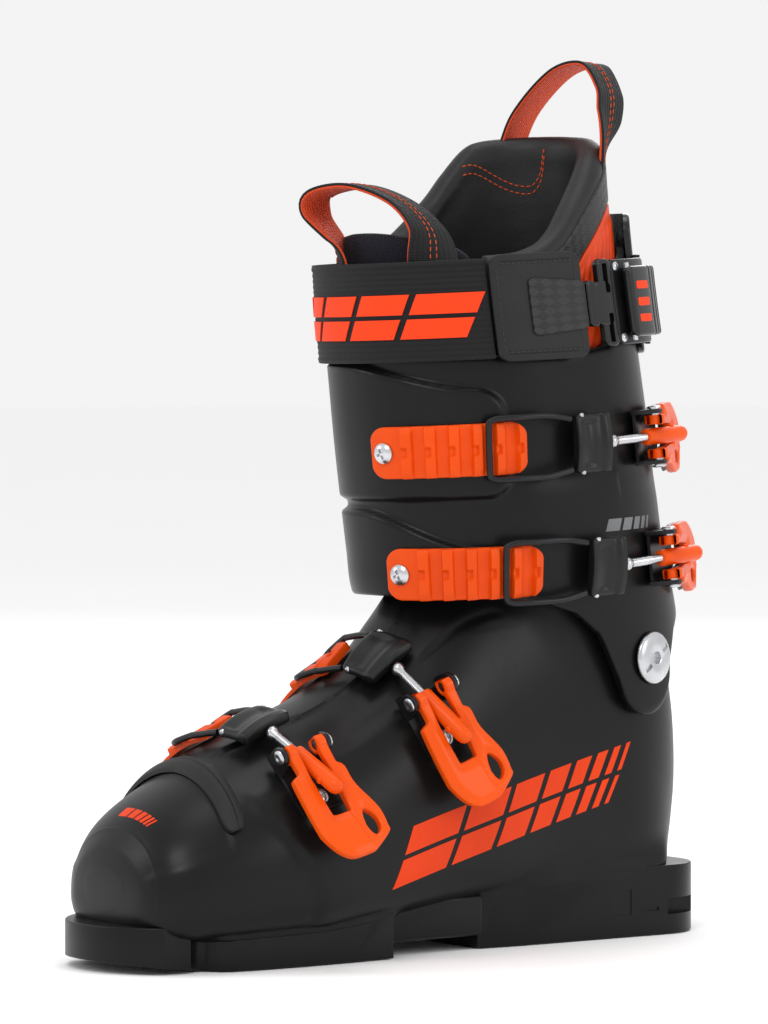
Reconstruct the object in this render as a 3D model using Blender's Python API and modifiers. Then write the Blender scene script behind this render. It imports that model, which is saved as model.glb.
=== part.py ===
"""Alpine ski boot, left foot: moulded shell and cuff, liner, four buckles and a power strap.

Frame: the toe points to -Y, the wearer's left (lateral) side to +X and the leg up +Z.
The origin is the middle of the sole's length, on the floor, under the middle of the boot's width.
Sizes are written in millimetres and multiplied by MM.
"""
import math

import bmesh
import bpy
from mathutils import Matrix, Vector

MM = 0.001
CENTRE_X = -6.5          # the foot's centre plane, moved inwards because the levers stand out
SOLE_LENGTH = 305.0
TOE_LUG_HEIGHT = 19.0
HEEL_LUG_HEIGHT = 30.0
TOE_RADIUS = 41.5
TOE_HALF_WIDTH = 34.5
HEEL_HALF_WIDTH = 35.0
SHELL_WALL = 4.6
CUFF_WALL = 4.2
CUFF_FLAP = 3.0          # how far the overlapping front flaps stand out
LINER_GAP = 1.8
LINER_THICKNESS = 8.0
GAP = 0.35               # clearance between pieces that rest on each other
PIVOT_Y = 110.0
PIVOT_Z = 120.0
PIVOT_RADIUS = 11.3
STRAP_BOTTOM = 248.0
STRAP_TOP = 290.0

# A section joins a front (or top) point to a rear (or bottom) point: front y, z, rear y, z,
# lateral and medial half widths, place of the widest point, roundness of the front and rear
# halves, and wall thickness at the rear point.
SHELL = [
    (-141, 42, -141, 24, 14, 14, 0.50, 2.0, 2.2, 9),
    (-139, 51, -140, 17, 27, 26, 0.42, 2.0, 2.6, 9),
    (-134, 60, -136, 13, 36, 34, 0.40, 2.1, 3.0, 9),
    (-125, 68, -127, 11, 43, 41, 0.38, 2.1, 3.4, 9),
    (-110, 77, -110, 10, 48, 46, 0.36, 2.1, 3.6, 9),
    (-90, 87, -88, 10, 51, 48, 0.36, 2.1, 3.6, 9),
    (-66, 97, -60, 10, 52, 48, 0.36, 2.1, 3.4, 9),
    (-40, 107, -30, 12, 49, 45, 0.38, 2.1, 3.2, 9),
    (-14, 123, 5, 13, 45, 42, 0.42, 2.2, 3.0, 9),
    (1, 140, 40, 13, 43, 40, 0.46, 2.2, 2.8, 9),
    (12, 154, 75, 13, 41, 39, 0.50, 2.2, 2.7, 9),
    (20, 163, 110, 15, 40, 39, 0.52, 2.2, 2.7, 12),
    (25, 168, 137, 22, 40, 39, 0.52, 2.2, 2.6, 9),
    (27, 171, 146, 50, 40, 39, 0.50, 2.2, 2.4, 5),
    (28, 173, 147, 85, 40, 39, 0.50, 2.2, 2.3, 5),
    (28, 175, 142, 118, 40, 39, 0.50, 2.2, 2.2, 5),
    (29, 177, 134, 148, 39, 38, 0.50, 2.2, 2.0, 5),
    (31, 195, 128, 178, 39, 38, 0.50, 2.2, 2.0, 5),
]
CUFF = [
    (24, 84, 153, 84, 47.0, 46, 0.5, 2.3, 2.2, 0),
    (20, 101, 152, 103, 47.5, 46, 0.5, 2.3, 2.2, 0),
    (12, 120, 150, 122, 48.0, 47, 0.5, 2.3, 2.2, 0),
    (3, 138, 147, 142, 49.0, 48, 0.5, 2.2, 2.2, 0),
    (-4, 152, 143, 158, 50.0, 49, 0.5, 2.2, 2.2, 0),
    (-6, 168, 138, 174, 51.5, 50, 0.5, 2.2, 2.2, 0),
    (-9, 192, 134, 198, 52.0, 51, 0.5, 2.2, 2.2, 0),
    (-12, 215, 130, 222, 52.0, 51, 0.5, 2.2, 2.2, 0),
    (-15, 243, 125, 250, 52.0, 51, 0.5, 2.2, 2.2, 0),
    (-18, 268, 121, 275, 51.0, 50, 0.5, 2.2, 2.2, 0),
    (-20, 290, 118, 298, 50.0, 49, 0.5, 2.2, 2.2, 0),
    (-22, 318, 115, 326, 49.0, 48, 0.5, 2.2, 2.2, 0),
    (-23, 345, 113, 353, 49.0, 48, 0.5, 2.2, 2.2, 0),
]
# The liner's foot stands on the boot board, so its floor is higher than the shell's.
BOARD_TOP = 30.0
BOARD_BOTTOM = 21.0
LINER_FLOORS = [17, 17, 18, 20, 20.5, 20.5, 20.5, 18.5, 18, 19, 21, 24, 14, 6.5, 5.5, 5.5, 5.5, 5.5]
LINER_ROUNDNESS = 2.1


def liner_row(row, floor):
    """A liner section: a higher floor, with its widest point where the shell's hollow has it."""
    length = math.dist(row[0:2], row[2:4]) - SHELL_WALL - row[9]
    rise = floor - row[9]
    widest = max(0.08, (row[6] * length - rise) / (length - rise))
    return row[:6] + (widest, row[7], LINER_ROUNDNESS, floor)


LINER_FOOT = [liner_row(row, floor) for row, floor in zip(SHELL, LINER_FLOORS)]

for old in list(bpy.data.objects):
    bpy.data.objects.remove(old, do_unlink=True)
boot = bpy.data.collections.new("alpine_ski_boot")
cutters = bpy.data.collections.new("cutters")
for collection in (boot, cutters):
    bpy.context.scene.collection.children.link(collection)


def principled(name, colour, roughness, metallic=0.0):
    """A plain material of one colour."""
    made = bpy.data.materials.new(name)
    made.use_nodes = True
    shader = made.node_tree.nodes["Principled BSDF"]
    shader.inputs["Base Color"].default_value = (*colour, 1.0)
    shader.inputs["Roughness"].default_value = roughness
    shader.inputs["Metallic"].default_value = metallic
    return made


SHELL_BLACK = principled("shell_black", (0.018, 0.019, 0.020), 0.42)
GLOSS_BLACK = principled("gloss_black", (0.012, 0.012, 0.013), 0.2)
RUBBER = principled("rubber", (0.012, 0.012, 0.012), 0.7)
ORANGE = principled("orange_plastic", (0.9, 0.11, 0.008), 0.38)
BLACK_STEEL = principled("black_steel", (0.02, 0.02, 0.022), 0.3, 0.8)
BRIGHT_STEEL = principled("bright_steel", (0.62, 0.64, 0.66), 0.25, 1.0)
WEBBING = principled("webbing", (0.015, 0.015, 0.016), 0.8)
ORANGE_WEBBING = principled("orange_webbing", (0.6, 0.07, 0.01), 0.8)
LINER_SKIN = principled("liner_skin", (0.022, 0.022, 0.024), 0.6)
TONGUE_CLOTH = principled("tongue_cloth", (0.012, 0.013, 0.02), 0.75)
FOAM = principled("foam", (0.05, 0.05, 0.05), 0.9)


def place(name, mesh, material, collection=boot, matrix=None):
    """Put a mesh in a collection as an object with its material."""
    made = bpy.data.objects.new(name, mesh)
    collection.objects.link(made)
    if material:
        mesh.materials.append(material)
    if matrix is not None:
        made.matrix_world = matrix
    if collection is cutters:
        made.hide_render = True
        made.display_type = "WIRE"
    return made


def boolean(target, tool, operation):
    """Cut, join or trim the target with the tool."""
    modifier = target.modifiers.new(operation.lower(), "BOOLEAN")
    modifier.operation = operation
    modifier.solver = "EXACT"
    modifier.object = tool


def finish_mesh(bm, name):
    """Turn a bmesh into a mesh with its faces pointing out."""
    bmesh.ops.recalc_face_normals(bm, faces=bm.faces)
    if bm.calc_volume(signed=True) < 0:
        bmesh.ops.reverse_faces(bm, faces=bm.faces)
    mesh = bpy.data.meshes.new(name)
    bm.to_mesh(mesh)
    bm.free()
    return mesh


def section_values(rows, index):
    """The section between two rows, on a smooth curve through all of them."""
    low = max(0, min(int(math.floor(index)), len(rows) - 2))
    u = index - low
    near = [rows[max(0, min(len(rows) - 1, low + k))] for k in (-1, 0, 1, 2)]
    return [
        0.5 * (2 * b + (c - a) * u + (2 * a - 5 * b + 4 * c - d) * u * u
               + (3 * b - a - 3 * c + d) * u ** 3)
        for a, b, c, d in zip(*near)
    ]


def surface(rows, index, turn, offset=0.0):
    """A point of a section: turn 0 is the front, a quarter turn the lateral side."""
    fy, fz, ry, rz, lateral, medial, widest, front_n, rear_n, floor = section_values(rows, index)
    front = Vector((0, fy, fz))
    rear = Vector((0, ry, rz))
    axis = (front - rear).normalized()
    front += axis * offset
    rear -= axis * (offset if offset >= 0 or not floor else offset + SHELL_WALL - floor)
    middle = rear.lerp(front, widest)
    c, s = math.cos(turn), math.sin(turn)
    exponent = 2.0 / (front_n if c > 0 else rear_n)
    reach = (front - middle).length if c > 0 else (middle - rear).length
    width = (lateral if s > 0 else medial) + offset
    along = math.copysign(abs(c) ** exponent, c) * reach
    across = math.copysign(abs(s) ** exponent, s) * width
    return (middle + axis * along + Vector((across + CENTRE_X, 0, 0))) * MM


def cuff_index(height):
    """The cuff section whose front point is at a height."""
    for low in range(len(CUFF) - 1):
        z0, z1 = CUFF[low][1], CUFF[low + 1][1]
        if height <= z1 or low == len(CUFF) - 2:
            return low + (height - z0) / (z1 - z0)


def loft(name, rows, first, last, steps, around, offset, material=None, collection=cutters):
    """A closed skin through the sections from the first index to the last."""
    bm = bmesh.new()
    rings = []
    for k in range(steps + 1):
        index = first + (last - first) * k / steps
        turns = [2 * math.pi * j / around for j in range(around)]
        rings.append([bm.verts.new(surface(rows, index, turn, offset)) for turn in turns])
    for a, b in zip(rings, rings[1:]):
        for j in range(around):
            k = (j + 1) % around
            bm.faces.new((a[j], a[k], b[k], b[j]))
    bm.faces.new(rings[0])
    bm.faces.new(rings[-1])
    return place(name, finish_mesh(bm, name), material, collection)


def slab(name, point, us, vs, material, collection=boot):
    """A closed sheet with thickness: point(u, v, side) gives its under side 0 and top 1."""
    bm = bmesh.new()
    layers = [[[bm.verts.new(point(u, v, side)) for v in vs] for u in us] for side in (0, 1)]
    last_u, last_v = len(us) - 1, len(vs) - 1
    for layer in layers:
        for i in range(last_u):
            for j in range(last_v):
                bm.faces.new((layer[i][j], layer[i + 1][j], layer[i + 1][j + 1], layer[i][j + 1]))
    low, top = layers
    for i in range(last_u):
        for j in (0, last_v):
            bm.faces.new((low[i][j], low[i + 1][j], top[i + 1][j], top[i][j]))
    for j in range(last_v):
        for i in (0, last_u):
            bm.faces.new((low[i][j], low[i][j + 1], top[i][j + 1], top[i][j]))
    return place(name, finish_mesh(bm, name), material, collection)


def steps_between(first, last, count):
    """Evenly spaced values from first to last."""
    return [first + (last - first) * k / count for k in range(count + 1)]


def cuff_patch(name, turns, heights, offsets, material, counts=(8, 3), collection=boot):
    """A slab that follows the cuff's skin between two turns, in degrees, and two heights."""
    def point(u, v, side):
        return surface(CUFF, cuff_index(v), math.radians(u), offsets[side])
    return slab(name, point, steps_between(*turns, counts[0]), steps_between(*heights, counts[1]),
                material, collection)


def curve_mesh(name, outlines, thickness):
    """The mesh of a flat filled outline with thickness, from a 2D curve."""
    curve = bpy.data.curves.new(name, "CURVE")
    curve.dimensions = "2D"
    curve.fill_mode = "BOTH"
    curve.extrude = thickness / 2 * MM
    for outline in outlines:
        spline = curve.splines.new("POLY")
        spline.points.add(len(outline) - 1)
        for place_of, (x, y) in zip(spline.points, outline):
            place_of.co = (x * MM, y * MM, 0, 1)
        spline.use_cyclic_u = True
    return welded_mesh(name, curve)


def welded_mesh(name, curve):
    """A curve's evaluated mesh with its caps joined on; the curve itself is removed."""
    guide = bpy.data.objects.new(name + "_guide", curve)
    bpy.context.scene.collection.objects.link(guide)
    evaluated = guide.evaluated_get(bpy.context.evaluated_depsgraph_get())
    mesh = bpy.data.meshes.new_from_object(evaluated)
    bpy.data.objects.remove(guide, do_unlink=True)
    bm = bmesh.new()
    bm.from_mesh(mesh)
    bmesh.ops.remove_doubles(bm, verts=bm.verts, dist=0.00001)
    bmesh.ops.recalc_face_normals(bm, faces=bm.faces)
    bm.to_mesh(mesh)
    bm.free()
    mesh.name = name
    return mesh


def plate(name, outlines, thickness, matrix, material=None, collection=cutters):
    """A flat plate of an outline in its own XY plane."""
    return place(name, curve_mesh(name, outlines, thickness), material, collection, matrix)


def wire(name, points, radius, material):
    """A bent round wire with flat ends."""
    curve = bpy.data.curves.new(name, "CURVE")
    curve.dimensions = "3D"
    curve.bevel_depth = radius * MM
    curve.bevel_resolution = 1
    curve.use_fill_caps = True
    spline = curve.splines.new("POLY")
    spline.points.add(len(points) - 1)
    for place_of, co in zip(spline.points, points):
        place_of.co = (*co, 1)
    return place(name, welded_mesh(name, curve), material)


def box(name, low, high, matrix, material=None, collection=cutters):
    """A box between two corners given in the matrix's own frame, in millimetres."""
    bm = bmesh.new()
    middle = [(a + b) / 2 * MM for a, b in zip(low, high)]
    size = [(b - a) * MM for a, b in zip(low, high)]
    bmesh.ops.create_cube(bm, size=1.0, matrix=Matrix.Translation(middle) @ Matrix.Diagonal((*size, 1)))
    return place(name, finish_mesh(bm, name), material, collection, matrix)


def cylinder(name, radius, low, high, matrix, material=None, collection=cutters, sides=16):
    """A cylinder along the matrix's Z, between two heights in millimetres."""
    bm = bmesh.new()
    bmesh.ops.create_cone(bm, cap_ends=True, segments=sides, radius1=radius * MM, radius2=radius * MM,
                          depth=(high - low) * MM, matrix=Matrix.Translation((0, 0, (low + high) / 2 * MM)))
    return place(name, finish_mesh(bm, name), material, collection, matrix)


def turned(name, profile, matrix, material, sides=16):
    """A turned piece: its profile (radius, height) runs from the top to the bottom."""
    mesh = bpy.data.meshes.new(name)
    mesh.from_pydata([(r * MM, 0, z * MM) for r, z in profile],
                     [(k, k + 1) for k in range(len(profile) - 1)], [])
    made = place(name, mesh, material, boot, matrix)
    screw = made.modifiers.new("turn", "SCREW")
    screw.steps = sides
    screw.render_steps = sides
    screw.use_merge_vertices = True
    screw.merge_threshold = 0.00001
    screw.use_normal_calculate = False
    return made


def frame_matrix(origin, along, across, normal):
    """A matrix whose X, Y and Z are the three directions."""
    made = Matrix((along, across, normal)).transposed().to_4x4()
    made.translation = origin
    return made


def rotated(matrix, column):
    """The direction of one of a matrix's axes."""
    return matrix.to_3x3().col[column].normalized()


# ---------------------------------------------------------------- lower shell

def toe_outline(half_width, radius, tip, inner_end):
    """The toe lug's outline: round tip, straight sides with a groove, then the wider forefoot."""
    spread = math.asin(half_width / radius)
    arc = [(radius * math.sin(a), tip + radius - radius * math.cos(a))
           for a in steps_between(-spread, spread, 12)]
    side = [(half_width, -121), (half_width - 3, -118), (half_width - 3, -113), (41, -106),
            (43, -70), (41, inner_end)]
    return arc + side + [(-x * 0.96, y) for x, y in reversed(side)]


def heel_outline(half_width, rear, inner_end, corner):
    """The heel block's outline with two rounded rear corners."""
    arc = [(half_width - corner + corner * math.sin(a), rear - corner + corner * math.cos(a))
           for a in steps_between(math.pi / 2, 0, 5)]
    half = [(half_width - 3, inner_end)] + arc
    return half + [(-x, y) for x, y in reversed(half)]


def lower_shell():
    """The moulded shell with its integral sole and the hollow for liner and foot."""
    shell = loft("lower_shell", SHELL, 0, 16, 24, 28, 0.0, SHELL_BLACK, boot)
    sole_frame = Matrix.Translation((CENTRE_X * MM, 0, 0))
    toe = plate("toe_block", [toe_outline(TOE_HALF_WIDTH, TOE_RADIUS, -SOLE_LENGTH / 2, -24)],
                TOE_LUG_HEIGHT, sole_frame @ Matrix.Translation((0, 0, TOE_LUG_HEIGHT / 2 * MM)))
    rocker = Matrix.Translation((CENTRE_X * MM, -113 * MM, 0)) @ Matrix.Rotation(math.radians(-6.5), 4, "X")
    boolean(toe, box("rocker_cut", (-60, -60, -20), (60, 0, 0), rocker), "DIFFERENCE")
    heel = plate("heel_block", [heel_outline(HEEL_HALF_WIDTH, SOLE_LENGTH / 2, 26, 24)],
                 HEEL_LUG_HEIGHT, sole_frame @ Matrix.Translation((0, 0, HEEL_LUG_HEIGHT / 2 * MM)))
    arch = box("arch_block", (-33, -26, 5.5), (34, 28, 23), sole_frame)
    for block in (toe, heel, arch):
        boolean(shell, block, "UNION")
    boolean(shell, loft("shell_hollow", SHELL, 1.7, 17, 22, 28, -SHELL_WALL), "DIFFERENCE")
    recess = plate("board_recess", [board_outline(0.6)], BOARD_TOP - BOARD_BOTTOM + 12,
                   sole_frame @ Matrix.Translation((0, 0, ((BOARD_TOP + BOARD_BOTTOM) / 2 + 5.4) * MM)))
    boolean(shell, recess, "DIFFERENCE")
    slot = box("heel_slot", (30, 120, 11), (60, 146, 17), sole_frame)
    boolean(shell, slot, "DIFFERENCE")
    return shell


def board_outline(room=0.0):
    """The boot board's outline, a foot shape, with room all round it."""
    half = [(0, -116), (15, -112), (25, -96), (28, -70), (26, -30), (22, 20), (22, 70), (17, 94), (0, 100)]
    half = [(x + room if x else 0, y + math.copysign(room, y)) for x, y in half]
    return half + [(-x, y) for x, y in reversed(half[1:-1])]


def pivot_frame(side):
    """The cuff's skin at the pivot: its outward direction is the frame's Z."""
    index = cuff_index(PIVOT_Z)
    low, high = math.radians(90), math.radians(170)
    for _ in range(30):
        turn = (low + high) / 2
        if surface(CUFF, index, side * turn).y < PIVOT_Y * MM:
            low = turn
        else:
            high = turn
    step = 0.01
    origin = surface(CUFF, index, side * turn)
    along = (surface(CUFF, index, side * turn + step) - surface(CUFF, index, side * turn - step)).normalized()
    up = (surface(CUFF, index + step, side * turn) - surface(CUFF, index - step, side * turn)).normalized()
    normal = along.cross(up).normalized()
    return frame_matrix(origin, along, normal.cross(along), normal)


def side_cut(name, outline):
    """A tool with an outline in the side view, right across the boot."""
    turn = Matrix(((0, 0, 1, 0), (1, 0, 0, 0), (0, 1, 0, 0), (0, 0, 0, 1)))
    return plate(name, [outline], 200, turn)


def cuff():
    """The cuff: a wall round the ankle and leg, with two overlapping flaps at the front."""
    wall = loft("cuff", CUFF, 0, 11, 22, 36, 0.0, SHELL_BLACK, boot)
    boolean(wall, loft("cuff_hollow", CUFF, 0.1, 11.5, 23, 36, -CUFF_WALL), "DIFFERENCE")
    pivot_lobe = [(PIVOT_Y - 2 + 17 * math.cos(a), PIVOT_Z - 4 + 19 * math.sin(a))
                  for a in steps_between(math.radians(195), math.radians(365), 8)]
    outline = ([(-60, 152), (26, 148.5), (48, 147), (66, 142), (80, 132)] + pivot_lobe
               + [(131, 132), (142, 141), (170, 148), (170, 300), (112, 300), (100, 292), (94, 268),
                  (84, 256), (60, 252), (-60, 250)])
    boolean(wall, side_cut("cuff_outline", outline), "INTERSECT")
    flaps = (("upper_flap", (-80, 66), (194, 241)), ("lower_flap", (-80, 66), (153, 186)))
    for name, turns, heights in flaps:
        flap = cuff_patch(name, turns, heights, (-CUFF_WALL / 2, CUFF_FLAP), None, (16, 3), cutters)
        boolean(wall, flap, "UNION")
    return wall


def pivots(shell, wall):
    """The two pivot screws, with clearance holes in the cuff and close holes in the shell."""
    for side, name in ((1, "pivot_lateral"), (-1, "pivot_medial")):
        matrix = pivot_frame(side)
        turned(name, [(0, 3.2), (7.5, 3.2), (PIVOT_RADIUS, 1.8), (PIVOT_RADIUS, 0.8), (5.5, 0.8),
                      (5.5, -11), (0, -11)], matrix, BRIGHT_STEEL, 24)
        boolean(shell, cylinder(name + "_shell_hole", 5.9, -20, 4, matrix), "DIFFERENCE")
        boolean(wall, cylinder(name + "_cuff_hole", 6.6, -9, 6, matrix), "DIFFERENCE")


# ---------------------------------------------------------------- liner

def liner():
    """The liner: its foot, its open collar and its tongue."""
    outside = -(SHELL_WALL + LINER_GAP)
    foot = loft("liner_foot", LINER_FOOT, 2.2, 15.2, 18, 24, outside, LINER_SKIN, boot)
    boolean(foot, loft("foot_hollow", LINER_FOOT, 3.0, 15.8, 18, 24, outside - 5.5), "DIFFERENCE")

    skin = -(CUFF_WALL + LINER_GAP)
    bottom, front_top, rear_top = 181.0, 298.0, 331.0

    def collar(u, v, side):
        rise = min(1.0, max(0.0, (min(u, 360 - u) - 68) / 80))
        top = front_top + (rear_top - front_top) * rise * rise * (3 - 2 * rise)
        height = bottom + (top - bottom) * v
        offset = skin if side else skin - LINER_THICKNESS
        return surface(CUFF, cuff_index(height), math.radians(u), offset)
    slab("liner_cuff", collar, steps_between(68, 292, 24), steps_between(0, 1, 6), LINER_SKIN)

    def tongue(u, v, side):
        top = 303 - 10 * (u / 64) ** 2
        height = 168 + (top - 168) * v
        offset = skin if side else skin - 7
        return surface(CUFF, cuff_index(height), math.radians(u), offset)
    slab("liner_tongue", tongue, steps_between(-64, 64, 12), steps_between(0, 1, 5), TONGUE_CLOTH)


def ribbon(name, points, across, width, thickness, material):
    """A strap bent through points, with its width along the directions across."""
    rows = list(zip(points, across))
    count = (len(rows) - 1) * 4
    stations = []
    for k in range(count + 1):
        values = section_values([(*p, *w) for p, w in rows], k / 4)
        stations.append((Vector(values[:3]), Vector(values[3:]).normalized()))

    def point(u, v, side):
        centre, wide = stations[u]
        before, after = stations[max(0, u - 1)][0], stations[min(count, u + 1)][0]
        normal = (after - before).normalized().cross(wide).normalized()
        return (centre + wide * v * width / 2 + normal * (side - 0.5) * thickness) * MM
    slab(name, point, list(range(count + 1)), [-1, 1], material)


def pull_loops():
    """The webbing loops for pulling the boot on."""
    ribbon("front_pull_loop",
           [(-17, -13, 307), (-23, -23, 312), (-20, -24, 320), (-6, -14, 323), (10, -1, 316), (19, 6, 306)],
           [(0.75, -0.6, -0.2)] * 2 + [(0.7, -0.7, 0)] * 2 + [(0.55, -0.8, 0.1)] * 2, 22, 2.2, ORANGE_WEBBING)
    ribbon("rear_pull_loop",
           [(-38, 92, 338), (-34, 98, 351), (-18, 104, 367), (0, 107, 369), (11, 108, 357), (14, 107, 346)],
           [(0.5, -0.85, 0.0)] * 6, 22, 2.2, ORANGE_WEBBING)


# ---------------------------------------------------------------- power strap

def power_strap():
    """The strap round the top: webbing, patch, hook, cam buckle and rear webbing."""
    low, high = STRAP_BOTTOM, STRAP_TOP
    cuff_patch("power_strap", (-150, 65.5), (low, high), (4.6, 6.9), WEBBING, (30, 1))
    cuff_patch("strap_patch", (66.2, 97), (low - 1.5, high + 1.5), (4.6, 8.4), WEBBING, (6, 1))
    cuff_patch("strap_hook", (98, 110.5), (low - 1, high - 1), (5.2, 8.4), GLOSS_BLACK, (3, 1))
    cuff_patch("strap_frame", (111.3, 140), (low + 3, high - 3), (4.8, 7.2), BLACK_STEEL, (5, 1))
    cam = cuff_patch("strap_cam", (114.8, 138), (low + 6, high - 6), (8.8, 13.0), GLOSS_BLACK, (4, 1))
    cuff_patch("rear_strap", (141, 209), (low + 2, high - 2), (4.0, 6.2), WEBBING, (10, 1))
    start = surface(CUFF, cuff_index(low + 4.5), math.radians(116.5), 10.2)
    end = surface(CUFF, cuff_index(high - 4.5), math.radians(116.5), 10.2)
    axis = (end - start).normalized()
    matrix = Matrix.Translation(start) @ axis.to_track_quat("Z", "Y").to_matrix().to_4x4()
    length = (end - start).length / MM
    turned("strap_cam_pin", [(0, length), (1.2, length), (1.2, 0), (0, 0)], matrix, BRIGHT_STEEL, 10)
    boolean(cam, cylinder("cam_pin_hole", 1.6, -4, length + 4, matrix, sides=10), "DIFFERENCE")
    cuff_patch("rear_spoiler", (143, 217), (246, 306), (GAP, 3.2), GLOSS_BLACK, (9, 4))


# ---------------------------------------------------------------- buckles

CATCH_LENGTH = 17.0
CATCH_HALF_WIDTH = 12.5
LADDER_HALF_WIDTH = 11.0
TOOTH_PITCH = 9.0
TOOTH_TOP = 6.0
VALLEY = 2.6
BAIL_RADIUS = 1.4
BAIL_EYE = 1.8           # the bail swings about its ends, this far in front of the catch
HINGE_HEIGHT = 9.5
HINGE_BACK = 12.0        # the hinge is this far from the base's middle, towards the ladder
LEVER_LENGTH = 52.0
BARREL_PIVOT = (16.0, 5.0)
BARREL_RADIUS = 3.6
PIN_RADIUS = 2.0

# name, sections, section index and its change per radian of turn, turn at the base's middle,
# lean of the closed lever, catch distance from the base's middle, bail length, side of the
# lever's finger lobe, height of the flap under the ladder, teeth beyond and before the bail
BUCKLES = [
    ("toe", SHELL, 5.62, 0.30, 53, 6, 28, 28, 1, 1.6, 1, 2),
    ("instep", SHELL, 7.88, 0.42, 61, 6, 28, 28, 1, 1.8, 1, 2),
    ("lower_cuff", CUFF, cuff_index(160), 0.0, 133, 12, 38, 38, -1, CUFF_FLAP, 4, 2),
    ("upper_cuff", CUFF, cuff_index(211), 0.0, 133, 12, 38, 38, -1, CUFF_FLAP, 4, 2),
]


class Band:
    """The line round the boot that a buckle follows, measured in millimetres from its base."""

    def __init__(self, rows, index, slope, middle_turn):
        self.rows = rows
        self.index = index
        self.slope = slope
        self.middle = math.radians(middle_turn)
        self.turns = [self.middle]
        self.lengths = [0.0]
        step = -0.01
        length = 0.0
        here = self.skin(self.middle)
        turn = self.middle
        while turn > self.middle - 3.0:
            turn += step
            there = self.skin(turn)
            length -= (there - here).length / MM
            here = there
            self.turns.append(turn)
            self.lengths.append(length)

    def skin(self, turn, lift=0.0, shift=0.0):
        """A point of the boot's skin on the line."""
        return surface(self.rows, self.index + self.slope * turn + shift, turn, lift)

    def turn_at(self, distance):
        """The turn at a distance (zero or less) from the base's middle."""
        for k in range(1, len(self.lengths)):
            if self.lengths[k] <= distance:
                part = (distance - self.lengths[k - 1]) / (self.lengths[k] - self.lengths[k - 1])
                return self.turns[k - 1] + part * (self.turns[k] - self.turns[k - 1])
        return self.turns[-1]

    def frame(self, distance=0.0):
        """The skin's frame: X along the line, Y across it and Z outwards."""
        turn = self.turn_at(distance) if distance < 0 else self.middle
        small = 0.02
        along = (self.skin(turn + small) - self.skin(turn - small)).normalized()
        across = (self.skin(turn, 0, small) - self.skin(turn, 0, -small)).normalized()
        normal = along.cross(across).normalized()
        return frame_matrix(self.skin(turn), along, normal.cross(along), normal)

    def point(self, distance, across, height):
        """A point at a distance along the line, across it and above the skin."""
        return self.frame(distance) @ (Vector((0, across, height)) * MM)


def lever_outline(lobe):
    """The lever: two arms with an open slot between them, and a finger lobe with a hole."""
    length = LEVER_LENGTH
    plus = [(-1, 5.2), (-1, 9.4), (9, 9.4), (12, 12), (24, 12.5), (36, 17.5), (45, 17), (51, 9)]
    minus = [(length, 0), (47, -9), (36, -13.2), (20, -13.6), (12, -12.6), (9, -9.4), (-1, -9.4), (-1, -5.2)]
    slot = [(27, -5.2), (29, -3.5), (29, 3.5), (27, 5.2)]
    hole = [(34, 9), (38, 13), (43, 13), (45, 9), (40, 7)]
    return [[(x, y * lobe) for x, y in plus + minus + slot], [(x, y * lobe) for x, y in hole]]


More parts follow.
